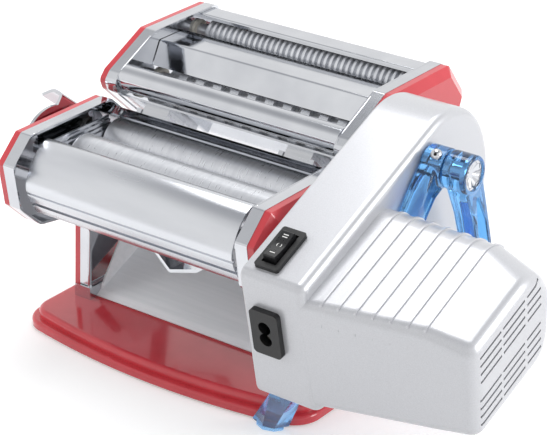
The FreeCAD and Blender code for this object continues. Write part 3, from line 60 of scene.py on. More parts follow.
def linear(hex_colour: str) -> tuple[float, float, float, float]:
    """Turn an sRGB hex colour into linear light.

    Args:
        hex_colour: Six hex digits, with or without a leading #.

    Returns:
        Red, green, blue and an alpha of 1.
    """
    digits = hex_colour.lstrip("#")
    values = [int(digits[i:i + 2], 16) / 255.0 for i in (0, 2, 4)]
    red, green, blue = [v / 12.92 if v <= 0.04045 else ((v + 0.055) / 1.055) ** 2.4 for v in values]
    return red, green, blue, 1.0


def add_node(tree: bpy.types.NodeTree, kind: str, settings: Settings, links: Links) -> bpy.types.Node:
    """Add one shader node.

    Args:
        tree: The node tree that gets the node.
        kind: The node's type name, such as ShaderNodeBsdfPrincipled.
        settings: Values by input name or number, or by property name where no input has it.
        links: Output sockets by the name or number of the input that they feed.

    Returns:
        The new node.
    """
    node = tree.nodes.new(kind)
    for name, value in settings.items():
        if name.isdigit():
            node.inputs[int(name)].default_value = value
        elif name in node.inputs and not hasattr(node, name):
            node.inputs[name].default_value = value
        else:
            setattr(node, name, value)
    for name, socket in links.items():
        tree.links.new(socket, node.inputs[int(name)] if name.isdigit() else node.inputs[name])
    return node


class Part(Enum):
    """What an edit-mode selection takes."""

    VERTEX = "VERT"
    EDGE = "EDGE"
    FACE = "FACE"


@dataclass(frozen=True)
class Finish:
    """What every finish has: a name, a colour pair and a roughness pair that it wanders between.

    noise_span is where most of a noise's values lie, and rough_grain is the roughness's grain as a
    part of the colour's.
    """

    name: str
    colour: str
    second: str
    rough: tuple[float, float]
    metallic: float = 0.0
    grain_mm: float = 8.0
    stretch: tuple[float, float, float] = (1.0, 1.0, 1.0)
    bump_mm: float = 0.0
    bump_grain_mm: float = 0.5
    coat: float = 0.0
    coat_rough: float = 0.03
    ior: float = 1.5
    transmission: float = 0.0
    noise_span: tuple[float, float] = (0.3, 0.7)
    rough_grain: float = 0.6

    def scale(self, size_mm: float) -> float:
        """Noise scale whose cells are this many millimetres wide on Object coordinates in metres."""
        return 1.0 / (size_mm * MM)

    def noise(self, tree: bpy.types.NodeTree, size_mm: float, detail: float) -> bpy.types.NodeSocket:
        """Noise on Object coordinates, stretched as the surface was worked.

        Args:
            tree: The material's node tree.
            size_mm: Width of one cell in millimetres.
            detail: Levels of finer noise.

        Returns:
            The noise's factor socket.
        """
        place = add_node(tree, "ShaderNodeTexCoord", {}, {})
        mapping = add_node(tree, "ShaderNodeMapping", {"Scale": self.stretch},
                           {"Vector": place.outputs["Object"]})
        noise = add_node(tree, "ShaderNodeTexNoise", {"Scale": self.scale(size_mm), "Detail": detail},
                         {"Vector": mapping.outputs["Vector"]})
        return noise.outputs["Fac"]

    def tint(self, tree: bpy.types.NodeTree) -> bpy.types.NodeSocket:
        """Colour that wanders between the finish's two colours.

        Args:
            tree: The material's node tree.

        Returns:
            The colour's socket.
        """
        low, high = self.noise_span
        factor = self.noise(tree, self.grain_mm, detail=3.0)
        ramp = add_node(tree, "ShaderNodeMapRange", {"From Min": low, "From Max": high}, {"Value": factor})
        mix = add_node(tree, "ShaderNodeMix",
                       {"data_type": "RGBA", MIX_FIRST: linear(self.colour), MIX_SECOND: linear(self.second)},
                       {"Factor": ramp.outputs["Result"]})
        return mix.outputs[MIX_OUT]

    def make(self) -> bpy.types.Material:
        """Build the material.

        Returns:
            The material, with its colour, roughness and bump all procedural.
        """
        material = bpy.data.materials.new(self.name)
        material.use_nodes = True
        tree = material.node_tree
        tree.nodes.clear()
        colour = self.tint(tree)
        wander = self.noise(tree, self.grain_mm * self.rough_grain, detail=2.0)
        rough = add_node(tree, "ShaderNodeMapRange", {"To Min": self.rough[0], "To Max": self.rough[1]},
                         {"Value": wander})
        settings: Settings = {"Metallic": self.metallic, "Coat Weight": self.coat,
                              "Coat Roughness": self.coat_rough, "Transmission Weight": self.transmission}
        if self.metallic < 1.0:
            settings["IOR"] = self.ior
        links: Links = {"Base Color": colour, "Roughness": rough.outputs["Result"]}
        if self.bump_mm:
            height = self.noise(tree, self.bump_grain_mm, detail=2.0)
            bump = add_node(tree, "ShaderNodeBump", {"Strength": 1.0, "Distance": self.bump_mm * MM},
                            {"Height": height})
            links["Normal"] = bump.outputs["Normal"]
        shader = add_node(tree, "ShaderNodeBsdfPrincipled", settings, links)
        add_node(tree, "ShaderNodeOutputMaterial", {}, {"Surface": shader.outputs["BSDF"]})
        return material


# Bright nickel-chrome plate over pressed steel: mirror-like, with a faint unevenness of the buffing.
CHROME_PLATE = Finish("chrome_plate", "#D6D8DC", "#C8CACF", (0.06, 0.12), metallic=1.0, grain_mm=30.0,
                      bump_mm=0.004, bump_grain_mm=6.0)
# Chrome on a turned roller: as bright, with fine turning marks round the barrel.
CHROME_ROLLER = Finish("turned_chrome", "#DDDFE3", "#CFD1D6", (0.24, 0.34), metallic=0.6, grain_mm=12.0,
                       stretch=(6.0, 1.0, 1.0), bump_mm=0.003, bump_grain_mm=2.0)
# Satin chrome of the front cover: brushed along its length, so highlights run out sideways.
SATIN_CHROME = Finish("satin_chrome", "#D9DBDF", "#CDCFD4", (0.22, 0.3), metallic=1.0, grain_mm=20.0,
                      stretch=(0.2, 1.0, 1.0), bump_mm=0.003, bump_grain_mm=1.2)
# Brushed stainless sheet: a pale, dull sheen with fine lines along the grain.
BRUSHED_STEEL = Finish("brushed_stainless", "#D9DADD", "#C6C8CC", (0.24, 0.34), metallic=1.0, grain_mm=3.0,
                       stretch=(0.05, 1.0, 1.0), bump_mm=0.004, bump_grain_mm=0.8)
# Satin anodised aluminium sheet of the chute: pale and even, with a soft sheen.
SATIN_ALUMINIUM = Finish("satin_aluminium", "#EEF0F3", "#E6E9EC", (0.42, 0.5), metallic=0.0, grain_mm=3.0,
                         stretch=(0.05, 1.0, 1.0), bump_mm=0.004, bump_grain_mm=0.8)
# Machined steel of gears and shafts: greyer, with an oily shine.
MACHINED_STEEL = Finish("machined_steel", "#A8AAAE", "#8C8E93", (0.22, 0.38), metallic=1.0, grain_mm=2.0,
                        bump_mm=0.006, bump_grain_mm=0.6)
# Red powder enamel, fired glossy: deep red under a clear shine with slight orange peel.
RED_ENAMEL = Finish("red_enamel", "#CC3A44", "#C0323B", (0.14, 0.2), grain_mm=25.0, bump_mm=0.012,
                    bump_grain_mm=2.5, coat=0.4, coat_rough=0.03)
# Silver metallised ABS: a pale moulding with fine metal flake under gloss.
SILVER_ABS = Finish("silver_abs", "#CBCCD0", "#C1C2C6", (0.28, 0.36), metallic=0.35, grain_mm=0.6,
                    bump_mm=0.004, bump_grain_mm=3.0, coat=0.35, coat_rough=0.08)
# Black moulded nylon of switch and inlet: near black, with a fine spark texture. It also serves as painted
# shade in the ball screw's socket.
BLACK_NYLON = Finish("black_nylon", "#0B0B0C", "#141416", (0.35, 0.5), grain_mm=0.8, bump_mm=0.01,
                     bump_grain_mm=0.35)
# Black polished rocker: the same plastic from a polished mould.
BLACK_ABS = Finish("black_abs", "#101012", "#18181A", (0.24, 0.34), grain_mm=2.0, bump_mm=0.004,
                   bump_grain_mm=1.0)
# Printed white ink: flat and slightly worn.
WHITE_INK = Finish("white_ink", "#F2F2F0", "#DDDDDA", (0.5, 0.6), grain_mm=0.5, bump_mm=0.004,
                   bump_grain_mm=0.2)
# Clear blue polycarbonate: light goes through it and gathers in its edges.
BLUE_POLYCARBONATE = Finish("blue_polycarbonate", "#7DBEF6", "#6BB2F2", (0.02, 0.06), grain_mm=12.0,
                            bump_mm=0.006, bump_grain_mm=4.0, ior=1.58, transmission=0.95)
# Sanded fibreboard: warm brown, with fine fibres along its length.
SANDED_BOARD = Finish("sanded_fibreboard", "#9E7A4F", "#8C6B43", (0.7, 0.85), grain_mm=3.0,
                      stretch=(0.15, 1.0, 1.0), bump_mm=0.03, bump_grain_mm=0.5)
# Natural nylon bearings: milky and waxy.
NATURAL_NYLON = Finish("natural_nylon", "#E7E4DA", "#D8D4C8", (0.4, 0.5), grain_mm=2.0, bump_mm=0.004,
                       bump_grain_mm=0.8)
# Nickel-plated brass contacts: bright with a warm cast.
NICKEL_CONTACT = Finish("nickel_contact", "#D8D3C6", "#C4BEB0", (0.12, 0.2), metallic=1.0, grain_mm=1.0,
                        bump_mm=0.002, bump_grain_mm=0.4)
# Varnished iron laminations: dark, in fine layers across the shaft.
IRON_LAMINATION = Finish("iron_lamination", "#4A4B50", "#35363A", (0.4, 0.55), metallic=1.0, grain_mm=0.8,
                         stretch=(4.0, 0.5, 0.5), bump_mm=0.01, bump_grain_mm=0.6)
# Die-cast aluminium: light grey with a fine cast skin.
CAST_ALUMINIUM = Finish("cast_aluminium", "#B9BBBE", "#A6A8AC", (0.35, 0.5), metallic=1.0, grain_mm=2.0,
                        bump_mm=0.015, bump_grain_mm=0.7)

FINISH_NODES: dict[Finish, tuple[str, ...]] = {
    RED_ENAMEL: ("base_plate", "left_side_cover", "right_side_cover", "left_cutter_cover",
                 "right_cutter_cover"),
    SANDED_BOARD: ("base_board",),
    CHROME_PLATE: ("left_side_plate", "right_side_plate", "rear_cover", "leg_clips", "centre_bracket",
                   "side_guides", "thickness_regulator", "left_cutter_plate", "right_cutter_plate",
                   "front_cutter_tube", "middle_cutter_cover", "rear_cutter_cover", "lower_cutter_strip",
                   "hub_screws"),
    SATIN_CHROME: ("front_cover",),
    SATIN_ALUMINIUM: ("chute_plate",),
    BRUSHED_STEEL: ("rear_scraper", "front_scraper", "cutter_rails", "wide_combs", "fine_combs"),
    CHROME_ROLLER: ("rear_roller", "front_roller", "wide_cutter_driver", "wide_cutter_idler",
                    "fine_cutter_driver", "fine_cutter_idler"),
    MACHINED_STEEL: ("tie_rods", "rear_roller_gear", "front_roller_gear", "roller_carriage",
                     "cutter_tie_rods", "wide_driver_gear", "wide_idler_gear", "fine_driver_gear",
                     "fine_idler_gear", "output_shaft"),
    NATURAL_NYLON: ("roller_bushes", "cutter_bushes", "reduction_gear", "gear_bearings"),
    SILVER_ABS: ("motor_inner_housing", "motor_outer_housing", "motor_end_cap"),
    BLACK_NYLON: ("switch_bezel", "inlet_socket"),
    BLACK_ABS: ("rocker_switch",),
    NICKEL_CONTACT: ("inlet_pins",),
    IRON_LAMINATION: ("motor_stator", "motor_rotor"),
    CAST_ALUMINIUM: ("motor_plate",),
    BLUE_POLYCARBONATE: ("support_bracket", "support_leg", "front_foot"),
}


class FinishRack:
    """Makes each finish once and hands it out."""

    def __init__(self) -> None:
        """Start with no materials made."""
        self.made: dict[str, bpy.types.Material] = {}

    def get(self, finish: Finish) -> bpy.types.Material:
        """The material of a finish, made at its first use.

        Args:
            finish: The finish.

        Returns:
            Its one material.
        """
        if finish.name not in self.made:
            self.made[finish.name] = finish.make()
        return self.made[finish.name]

    def dress(self, thing: bpy.types.Object, finish: Finish) -> None:
        """Put one finish on the whole of an object.

        Args:
            thing: The piece or node.
            finish: What it gets.
        """
        if not thing.material_slots:
            thing.data.materials.append(None)
        for place in thing.material_slots:
            place.material = self.get(finish)

    def dress_frame(self) -> None:
        """Give every carried-over node its finish."""
        finish_of = {name: finish for finish, names in FINISH_NODES.items() for name in names}
        for name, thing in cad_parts.items():
            self.dress(thing, finish_of[name])
            LOG.info("dressed %s as %s", name, finish_of[name].name)


@dataclass(frozen=True)
class Softbox:
    """A square soft lamp: where it hangs, its side in metres, its watts and whether metal mirrors it."""

    name: str
    place: tuple[float, float, float]
    size: float
    power: float
    mirrored: bool = True

    def hang(self, aim: Sequence[float]) -> None:
        """Hang the lamp and turn it to a point of the machine.

        Args:
            aim: The point in metres.
        """
        data = bpy.data.lights.new(self.name, "AREA")
        data.shape = "SQUARE"
        data.size = self.size
        data.energy = self.power
        lamp = bpy.data.objects.new(self.name, data)
        bpy.context.scene.collection.objects.link(lamp)
        beam = Vector(aim) - Vector(self.place)
        turn = beam.to_track_quat("-Z", "Y").to_matrix().to_4x4()
        lamp.matrix_world = Matrix.Translation(self.place) @ turn
        lamp.visible_glossy = self.mirrored


@dataclass
class Studio:
    """Camera, floor, world and lamps around the machine."""

    azimuth: float = 36.595
    elevation: float = 25.285
    roll: float = 0.278
    lens: float = 138.94
    sensor: float = 36.0
    near_clip: float = 0.05
    place: tuple[float, float, float] = (0.68994, -0.88237, 0.60581)
    floor_size: float = 8.0
    floor_colour: str = "#E6E6E6"
    floor_glow: float = 0.35
    world_light: float = 0.8
    grey_from: float = 0.55
    grey_full: float = 0.95
    ceiling: str = "#A9ABAF"
    aim: tuple[float, float, float] = (0.05, 0.0, 0.08)
    lamps: tuple[Softbox, ...] = (
        Softbox("top_softbox", (-0.15, 0.35, 1.5), 0.9, 11.0),
        Softbox("left_softbox", (-1.2, -0.7, 0.7), 0.7, 6.0, mirrored=False),
        Softbox("right_softbox", (1.6, 0.5, 0.75), 0.8, 14.0))

    def camera(self) -> None:
        """Put the camera at the photograph's viewing angle."""
        data = bpy.data.cameras.new("camera")
        data.lens = self.lens
        data.sensor_width = self.sensor
        data.clip_start = self.near_clip
        camera = bpy.data.objects.new("camera", data)
        bpy.context.scene.collection.objects.link(camera)
        turn = (Matrix.Rotation(math.radians(self.azimuth), 4, "Z")
                @ Matrix.Rotation(math.radians(90.0 - self.elevation), 4, "X")
                @ Matrix.Rotation(math.radians(self.roll), 4, "Z"))
        camera.matrix_world = Matrix.Translation(self.place) @ turn
        bpy.context.scene.camera = camera

    def seen_rays(self, tree: bpy.types.NodeTree) -> bpy.types.NodeSocket:
        """Factor of 1 for camera, glossy and transmission rays.

        Args:
            tree: The node tree that gets the nodes.

        Returns:
            The factor's socket.
        """
        path = add_node(tree, "ShaderNodeLightPath", {}, {})
        glossy = add_node(tree, "ShaderNodeMath", {"operation": "MAXIMUM"},
                          {"0": path.outputs["Is Camera Ray"], "1": path.outputs["Is Glossy Ray"]})
        seen = add_node(tree, "ShaderNodeMath", {"operation": "MAXIMUM"},
                        {"0": glossy.outputs[0], "1": path.outputs["Is Transmission Ray"]})
        return seen.outputs[0]

    def sky(self, tree: bpy.types.NodeTree) -> bpy.types.NodeSocket:
        """White from the floor up to well above the horizon, greyer overhead, as a studio's ceiling is.

        Args:
            tree: The node tree that gets the nodes.

        Returns:
            The colour's socket.
        """
        place = add_node(tree, "ShaderNodeTexCoord", {}, {})
        split = add_node(tree, "ShaderNodeSeparateXYZ", {}, {"Vector": place.outputs["Generated"]})
        height = add_node(tree, "ShaderNodeMapRange",
                          {"From Min": self.grey_from, "From Max": self.grey_full,
                           "interpolation_type": "SMOOTHSTEP"}, {"Value": split.outputs["Z"]})
        mix = add_node(tree, "ShaderNodeMix",
                       {"data_type": "RGBA", MIX_FIRST: WHITE, MIX_SECOND: linear(self.ceiling)},
                       {"Factor": height.outputs["Result"]})
        return mix.outputs[MIX_OUT]

    def world(self) -> None:
        """White surroundings, plainer for the light that they give than for how they look."""
        world = bpy.data.worlds.new("world")
        bpy.context.scene.world = world
        world.use_nodes = True
        tree = world.node_tree
        tree.nodes.clear()
        level = add_node(tree, "ShaderNodeMapRange", {"To Min": self.world_light, "To Max": 1.0},
                         {"Value": self.seen_rays(tree)})
        back = add_node(tree, "ShaderNodeBackground", {},
                        {"Color": self.sky(tree), "Strength": level.outputs["Result"]})
        add_node(tree, "ShaderNodeOutputWorld", {}, {"Surface": back.outputs["Background"]})

    def floor(self) -> None:
        """White floor that keeps the machine's shadow."""
        bpy.ops.object.select_all(action="DESELECT")
        bpy.ops.mesh.primitive_plane_add(size=self.floor_size, location=(0.0, 0.0, 0.0))
        floor = bpy.context.object
        floor.name = "floor"
        material = bpy.data.materials.new("white_floor")
        material.use_nodes = True
        tree = material.node_tree
        tree.nodes.clear()
        matt = add_node(tree, "ShaderNodeBsdfDiffuse", {"Color": linear(self.floor_colour)}, {})
        glow = add_node(tree, "ShaderNodeEmission", {"Color": WHITE, "Strength": self.floor_glow}, {})
        both = add_node(tree, "ShaderNodeAddShader", {}, {"0": matt.outputs[0], "1": glow.outputs[0]})
        mix = add_node(tree, "ShaderNodeMixShader", {},
                       {"0": self.seen_rays(tree), "1": matt.outputs[0], "2": both.outputs[0]})
        add_node(tree, "ShaderNodeOutputMaterial", {}, {"Surface": mix.outputs[0]})
        floor.data.materials.append(material)

    def build(self) -> None:
        """Set up the whole studio."""
        bpy.context.scene.view_settings.view_transform = "Standard"
        self.camera()
        self.world()
        self.floor()
        for lamp in self.lamps:
            lamp.hang(self.aim)


class Bench:
    """The moves of modelling by hand that every sub-assembly uses."""

    def __init__(self) -> None:
        """Leave edit mode, with nothing selected."""
        if bpy.context.mode != "OBJECT":
            bpy.ops.object.mode_set(mode="OBJECT")
        bpy.ops.object.select_all(action="DESELECT")

    def begin(self, name: str) -> bpy.types.Object:
        """Name the primitive just added and bake its place into its mesh.

        Args:
            name: The piece's name.

        Returns:
            The piece.
        """
        piece = bpy.context.object
        piece.name = name
        piece.data.name = name
        bpy.ops.object.transform_apply(location=True, rotation=True, scale=True)
        return piece

    def pick(self, piece: bpy.types.Object, part: Part, test: Callable[[Vector], bool]) -> None:
        """Select the parts of a mesh whose every point passes a test, and enter edit mode.

        Args:
            piece: The piece to select on.
            part: Which kind of element is selected.
            test: Says whether a point in metres is taken.
        """
        bpy.ops.object.mode_set(mode="OBJECT")
        mesh = piece.data
        taken = [test(v.co) for v in mesh.vertices]
        for vertex in mesh.vertices:
            vertex.select = part is Part.VERTEX and taken[vertex.index]
        for edge in mesh.edges:
            edge.select = part is Part.EDGE and all(taken[i] for i in edge.vertices)
        for face in mesh.polygons:
            face.select = part is Part.FACE and all(taken[i] for i in face.vertices)
        bpy.ops.object.mode_set(mode="EDIT")
        bpy.ops.mesh.select_mode(type=part.value)

    def extrude(self, step: Sequence[float]) -> None:
        """Extrude what is selected by a step in metres."""
        bpy.ops.mesh.extrude_region_move(TRANSFORM_OT_translate={"value": step})

    def apply(self, piece: bpy.types.Object, kind: str, **settings: object) -> None:
        """Add a modifier with its settings and apply it.

        Args:
            piece: The piece.
            kind: The modifier's type.
            **settings: Its values by property name.
        """
        modifier = piece.modifiers.new(kind.lower(), kind)
        for name, value in settings.items():
            setattr(modifier, name, value)
        bpy.ops.object.modifier_apply(modifier=modifier.name)

    def round_edges(self, piece: bpy.types.Object, width: float, segments: int, sharper_than: float) -> None:
        """Round every edge sharper than an angle.

        Args:
            piece: The piece.
            width: The rounding in millimetres.
            segments: Its steps.
            sharper_than: The angle in degrees.
        """
        self.apply(piece, "BEVEL", width=width * MM, segments=segments, limit_method="ANGLE",
                   angle_limit=math.radians(sharper_than))

    def close(self) -> None:
        """Merge doubles and turn the faces outwards."""
        if bpy.context.mode != "EDIT_MESH":
            bpy.ops.object.mode_set(mode="EDIT")
        bpy.ops.mesh.select_all(action="SELECT")
        bpy.ops.mesh.remove_doubles(threshold=DOUBLES * MM)
        bpy.ops.mesh.normals_make_consistent(inside=False)
        bpy.ops.object.mode_set(mode="OBJECT")

    def smooth(self, degrees: float) -> None:
        """Shade smooth below an angle."""
        bpy.ops.object.shade_smooth_by_angle(angle=math.radians(degrees))

    def rest(self, piece: bpy.types.Object) -> bpy.types.Object:
        """Deselect the finished piece and hand it back."""
        bpy.ops.object.select_all(action="DESELECT")
        return piece


@dataclass
class FrontCover:
    """Satin front cover of the body: one rolled sheet with a bead line, a step and a folded lip."""

    half_width: float = 74.0
    sheet: float = 1.2
    edge_round: float = 0.3
    crown_height: float = 131.3
    line: Line = (
        (-62.5, 127.5), (-66.5, 130.3), (-69.5, 131.5), (-73.2, 131.2), (-78.0, 128.6), (-82.4, 124.4),
        (-85.8, 119.6), (-88.4, 114.6), (-89.9, 110.4), (-90.1, 107.2), (-89.75, 105.6), (-88.2, 105.1),
        (-88.0, 104.4), (-89.2, 103.9), (-88.2, 101.0), (-86.9, 98.5), (-83.4, 98.3), (-83.2, 96.6),
        (-85.8, 96.2), (-82.0, 90.0))

    def build(self, rack: FinishRack) -> list[bpy.types.Object]:
        """Roll the sheet along its line and give it its thickness.

        Args:
            rack: Hands out the finishes.

        Returns:
            The pieces made.
        """
        bench = Bench()
        places = [Vector((0.0, y, z)) * MM for y, z in self.line]
        bpy.ops.mesh.primitive_plane_add(size=1.0, location=(0.0, 0.0, 0.0))
        piece = bench.begin("front_cover_sheet")
        for vertex in piece.data.vertices:
            y, z = self.line[0] if vertex.co.y < 0.0 else self.line[1]
            vertex.co = Vector((math.copysign(self.half_width, vertex.co.x), y, z)) * MM
        for last, place in zip(places[1:], places[2:]):
            bench.pick(piece, Part.EDGE, lambda co: abs(co.y - last.y) < HAIR and abs(co.z - last.z) < HAIR)
            bench.extrude(place - last)
            bpy.ops.object.mode_set(mode="OBJECT")
        bench.close()
        crown = min(piece.data.polygons, key=lambda face: abs(face.center.z - self.crown_height * MM))
        if crown.normal.z > 0.0:
            piece.data.flip_normals()
        bench.apply(piece, "SOLIDIFY", thickness=self.sheet * MM, offset=1.0)
        bench.round_edges(piece, self.edge_round, segments=2, sharper_than=60.0)
        bench.smooth(25.0)
        rack.dress(piece, SATIN_CHROME)
        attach(piece, "frame")
        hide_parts("front_cover")
        return [bench.rest(piece)]


@dataclass
class PlateBeads:
    """Rolled bright edges of the pressed side plates."""

    radius: float = 0.9
    inner: float = 79.0
    corner: float = 3.0
    corner_steps: int = 5
    tube_steps: int = 3
    body: Line = (
        (-78.0, 135.0), (-94.0, 120.0), (-90.0, 93.0), (-74.0, 77.5), (-42.0, 72.0), (-31.0, 58.0),
        (-33.5, 12.0), (50.0, 12.0), (42.0, 62.0), (36.0, 94.0), (-8.0, 135.0))
    head: Line = (
        (34.0, 165.5), (0.0, 149.0), (-5.0, 143.5), (-2.5, 137.0), (31.0, 105.5), (62.0, 104.0),
        (103.0, 127.0), (110.0, 144.0), (93.0, 165.5))

    def bead(self, name: str, outline: Line, x: float) -> bpy.types.Object:
        """Bend a wire round an outline and make it a tube.

        Args:
            name: The piece's name.
            outline: The plate's (y, z) points.
            x: The bead's plane.

        Returns:
            The bead.
        """
        bench = Bench()
        bpy.ops.mesh.primitive_circle_add(vertices=len(outline), radius=1.0)
        piece = bench.begin(name)
        middle_y = sum(y for y, _ in outline) / len(outline)
        middle_z = sum(z for _, z in outline) / len(outline)
        for vertex, (y, z) in zip(piece.data.vertices, outline):
            inward = Vector((0.0, middle_y - y, middle_z - z)).normalized() * self.radius
            vertex.co = (Vector((x, y, z)) + inward) * MM
        bench.pick(piece, Part.VERTEX, lambda co: True)
        bpy.ops.mesh.bevel(offset=self.corner * MM, segments=self.corner_steps, affect="VERTICES")
        bpy.ops.object.mode_set(mode="OBJECT")
        bpy.ops.object.convert(target="CURVE")
        wire = bpy.context.object
        wire.data.bevel_depth = self.radius * MM
        wire.data.bevel_resolution = self.tube_steps
        bpy.ops.object.convert(target="MESH")
        bench.close()
        bench.smooth(60.0)
        return bench.rest(bpy.context.object)

    def build(self, rack: FinishRack) -> list[bpy.types.Object]:
        """Make the four beads.

        Args:
            rack: Hands out the finishes.

        Returns:
            The pieces made.
        """
        pieces = []
        kinds = (("plate", self.body, "frame"), ("cutter_plate", self.head, "cutter_head"))
        for side, sign in (("left", -1.0), ("right", 1.0)):
            for plate, outline, body in kinds:
                piece = self.bead(f"{side}_{plate}_bead", outline, sign * (self.inner + self.radius))
                rack.dress(piece, CHROME_PLATE)
                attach(piece, body)
                pieces.append(piece)
        return pieces


@dataclass
class HubArms:
    """Clear blue bracket and leg that meet in the hub over the motor block."""

    axis: tuple[float, float] = HUB_AXIS
    radius: float = 11.0
    sides: int = 64
    inner: tuple[float, float] = (138.6, 152.0)
    outer: tuple[float, float] = (152.6, 167.5)
    hub_round: float = 1.2
    recess: tuple[float, float] = (1.4, 4.0)
    bracket_line: Line = ((-4.0, 146.0), (-14.0, 139.0), (-21.5, 130.0), (-26.0, 124.0))
    bracket_half: tuple[float, ...] = (9.5, 7.5, 7.0, 7.0)
    bracket_inset: float = 2.0
    leg_line: Line = ((2.0, 143.0), (9.0, 125.0), (17.0, 100.0), (24.0, 72.0), (30.0, 40.0), (35.0, 4.0))
    leg_half: tuple[float, ...] = (9.5, 8.0, 7.4, 7.0, 6.6, 6.5)
    leg_inset: float = 0.8
    groove_line: Line = ((5.5, 134.0), (12.0, 115.0), (19.0, 90.0), (25.5, 62.0), (30.0, 36.0))
    groove_half: tuple[float, ...] = (1.2, 4.2, 4.0, 3.8, 3.4)
    groove_floor: float = 5.0
    groove_past: float = 3.0
    limb_round: float = 2.4
    sole: tuple[tuple[float, float], tuple[float, float], float] = ((150.8, 169.4), (24.2, 46.8), 4.6)
    sole_top: float = 0.86
    sole_round: float = 1.2
    voxel: float = 0.7
    melt: float = 0.5
    melt_rounds: int = 3

    def foot(self) -> bpy.types.Object:
        """Sole of the leg, its upper edges drawn in and all edges rounded.

        Returns:
            The sole.
        """
        bench = Bench()
        (x_from, x_to), (y_from, y_to), height = self.sole
        bpy.ops.mesh.primitive_cube_add(
            size=1.0, location=((x_from + x_to) / 2.0 * MM, (y_from + y_to) / 2.0 * MM, height / 2.0 * MM),
            scale=((x_to - x_from) * MM, (y_to - y_from) * MM, height * MM))
        piece = bench.begin("leg_sole")
        bench.pick(piece, Part.FACE, lambda co: co.z > (height - SKIN) * MM)
        bpy.ops.transform.resize(value=(self.sole_top, self.sole_top, 1.0))
        bpy.ops.object.mode_set(mode="OBJECT")
        bench.apply(piece, "BEVEL", width=self.sole_round * MM, segments=3)
        return piece

    def limb(self, name: str, line: Line, halves: Sequence[float], x_from: float,
             x_to: float) -> bpy.types.Object:
        """Extrude a limb of changing width along a (y, z) line.

        Args:
            name: The piece's name.
            line: The limb's middle line.
            halves: Half its width at each point.
            x_from: One side.
            x_to: The other side.

        Returns:
            The limb, a closed bar with rounded edges.
        """
        bench = Bench()
        bpy.ops.mesh.primitive_plane_add(size=2.0)
        piece = bench.begin(name)
        places = [Vector((0.0, y, z)) for y, z in line]
        tangents = [(places[min(i + 1, len(places) - 1)] - places[max(i - 1, 0)]).normalized()
                    for i in range(len(places))]
        across = [Vector((0.0, -t.z, t.y)) for t in tangents]
        for vertex in piece.data.vertices:
            x = x_from if vertex.co.x < 0.0 else x_to
            edge = math.copysign(halves[0], vertex.co.y)
            vertex.co = (Vector((x, 0.0, 0.0)) + places[0] + across[0] * edge) * MM
        bench.pick(piece, Part.FACE, lambda co: True)
        for i in range(1, len(places)):
            bpy.ops.object.mode_set(mode="EDIT")
            bench.extrude((places[i] - places[i - 1]) * MM)
            bpy.ops.object.mode_set(mode="OBJECT")
            for vertex in [v for v in piece.data.vertices if v.select]:
                offset = vertex.co / MM - places[i]
                offset.x = 0.0
                edge = math.copysign(halves[i], offset.dot(across[i - 1]))
                vertex.co = (Vector((vertex.co.x / MM, 0.0, 0.0)) + places[i] + across[i] * edge) * MM
        bench.close()
        bench.round_edges(piece, self.limb_round, segments=3, sharper_than=50.0)
        return piece

    def hub(self, name: str, x_from: float, x_to: float, sunk: bool) -> bpy.types.Object:
        """Turn half of the hub, with a recess for the screw where asked.

        Args:
            name: The piece's name.
            x_from: One side.
            x_to: The other side.
            sunk: Whether the outer face is sunk.

        Returns:
            The hub half.
        """
        bench = Bench()
        bpy.ops.mesh.primitive_cylinder_add(
            vertices=self.sides, radius=self.radius * MM, depth=(x_to - x_from) * MM, rotation=ALONG_X,
            location=((x_from + x_to) / 2.0 * MM, self.axis[0] * MM, self.axis[1] * MM))
        piece = bench.begin(name)
        bench.round_edges(piece, self.hub_round, segments=3, sharper_than=50.0)
        if sunk:
            wall, depth = self.recess
            bench.pick(piece, Part.FACE, lambda co: co.x > (x_to - SKIN) * MM)
            bpy.ops.mesh.inset(thickness=wall * MM)
            bench.extrude((-depth * MM, 0.0, 0.0))
            bpy.ops.object.mode_set(mode="OBJECT")
        return piece

    def blend(self, hub: bpy.types.Object, tools: Sequence[tuple[bpy.types.Object, str]]) -> bpy.types.Object:
        """Join or cut the hub with other shapes and melt the seams as a moulding has them.

        Args:
            hub: The shape that stays.
            tools: Shapes with UNION or DIFFERENCE.

        Returns:
            The finished moulding.
        """
        bench = Bench()
        hub.select_set(True)
        bpy.context.view_layer.objects.active = hub
        for tool, operation in tools:
            bench.apply(hub, "BOOLEAN", object=tool, operation=operation, solver="EXACT")
            bpy.data.objects.remove(tool)
        bench.apply(hub, "REMESH", mode="VOXEL", voxel_size=self.voxel * MM)
        bench.apply(hub, "SMOOTH", factor=self.melt, iterations=self.melt_rounds)
        bpy.ops.object.shade_smooth()
        return bench.rest(hub)

    def build(self, rack: FinishRack) -> list[bpy.types.Object]:
        """Mould the bracket and the leg.

        Args:
            rack: Hands out the finishes.

        Returns:
            The pieces made.
        """
        bracket = self.blend(
            self.hub("blue_bracket", *self.inner, False),
            [(self.limb("bracket_limb", self.bracket_line, self.bracket_half, self.inner[0],
                        self.inner[1] - self.bracket_inset), "UNION")])
        shin = self.limb("leg_limb", self.leg_line, self.leg_half, self.outer[0] + self.leg_inset,
                         self.outer[1] - self.leg_inset)
        groove = self.limb("leg_groove", self.groove_line, self.groove_half,
                           self.outer[0] + self.groove_floor, self.outer[1] + self.groove_past)
        leg = self.blend(self.hub("blue_leg", *self.outer, True),
                         [(shin, "UNION"), (self.foot(), "UNION"), (groove, "DIFFERENCE")])
        for piece, node, body in ((bracket, "support_bracket", "motor_unit"),
                                  (leg, "support_leg", "support_leg")):
            rack.dress(piece, BLUE_POLYCARBONATE)
            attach(piece, body)
            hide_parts(node)
        return [bracket, leg]


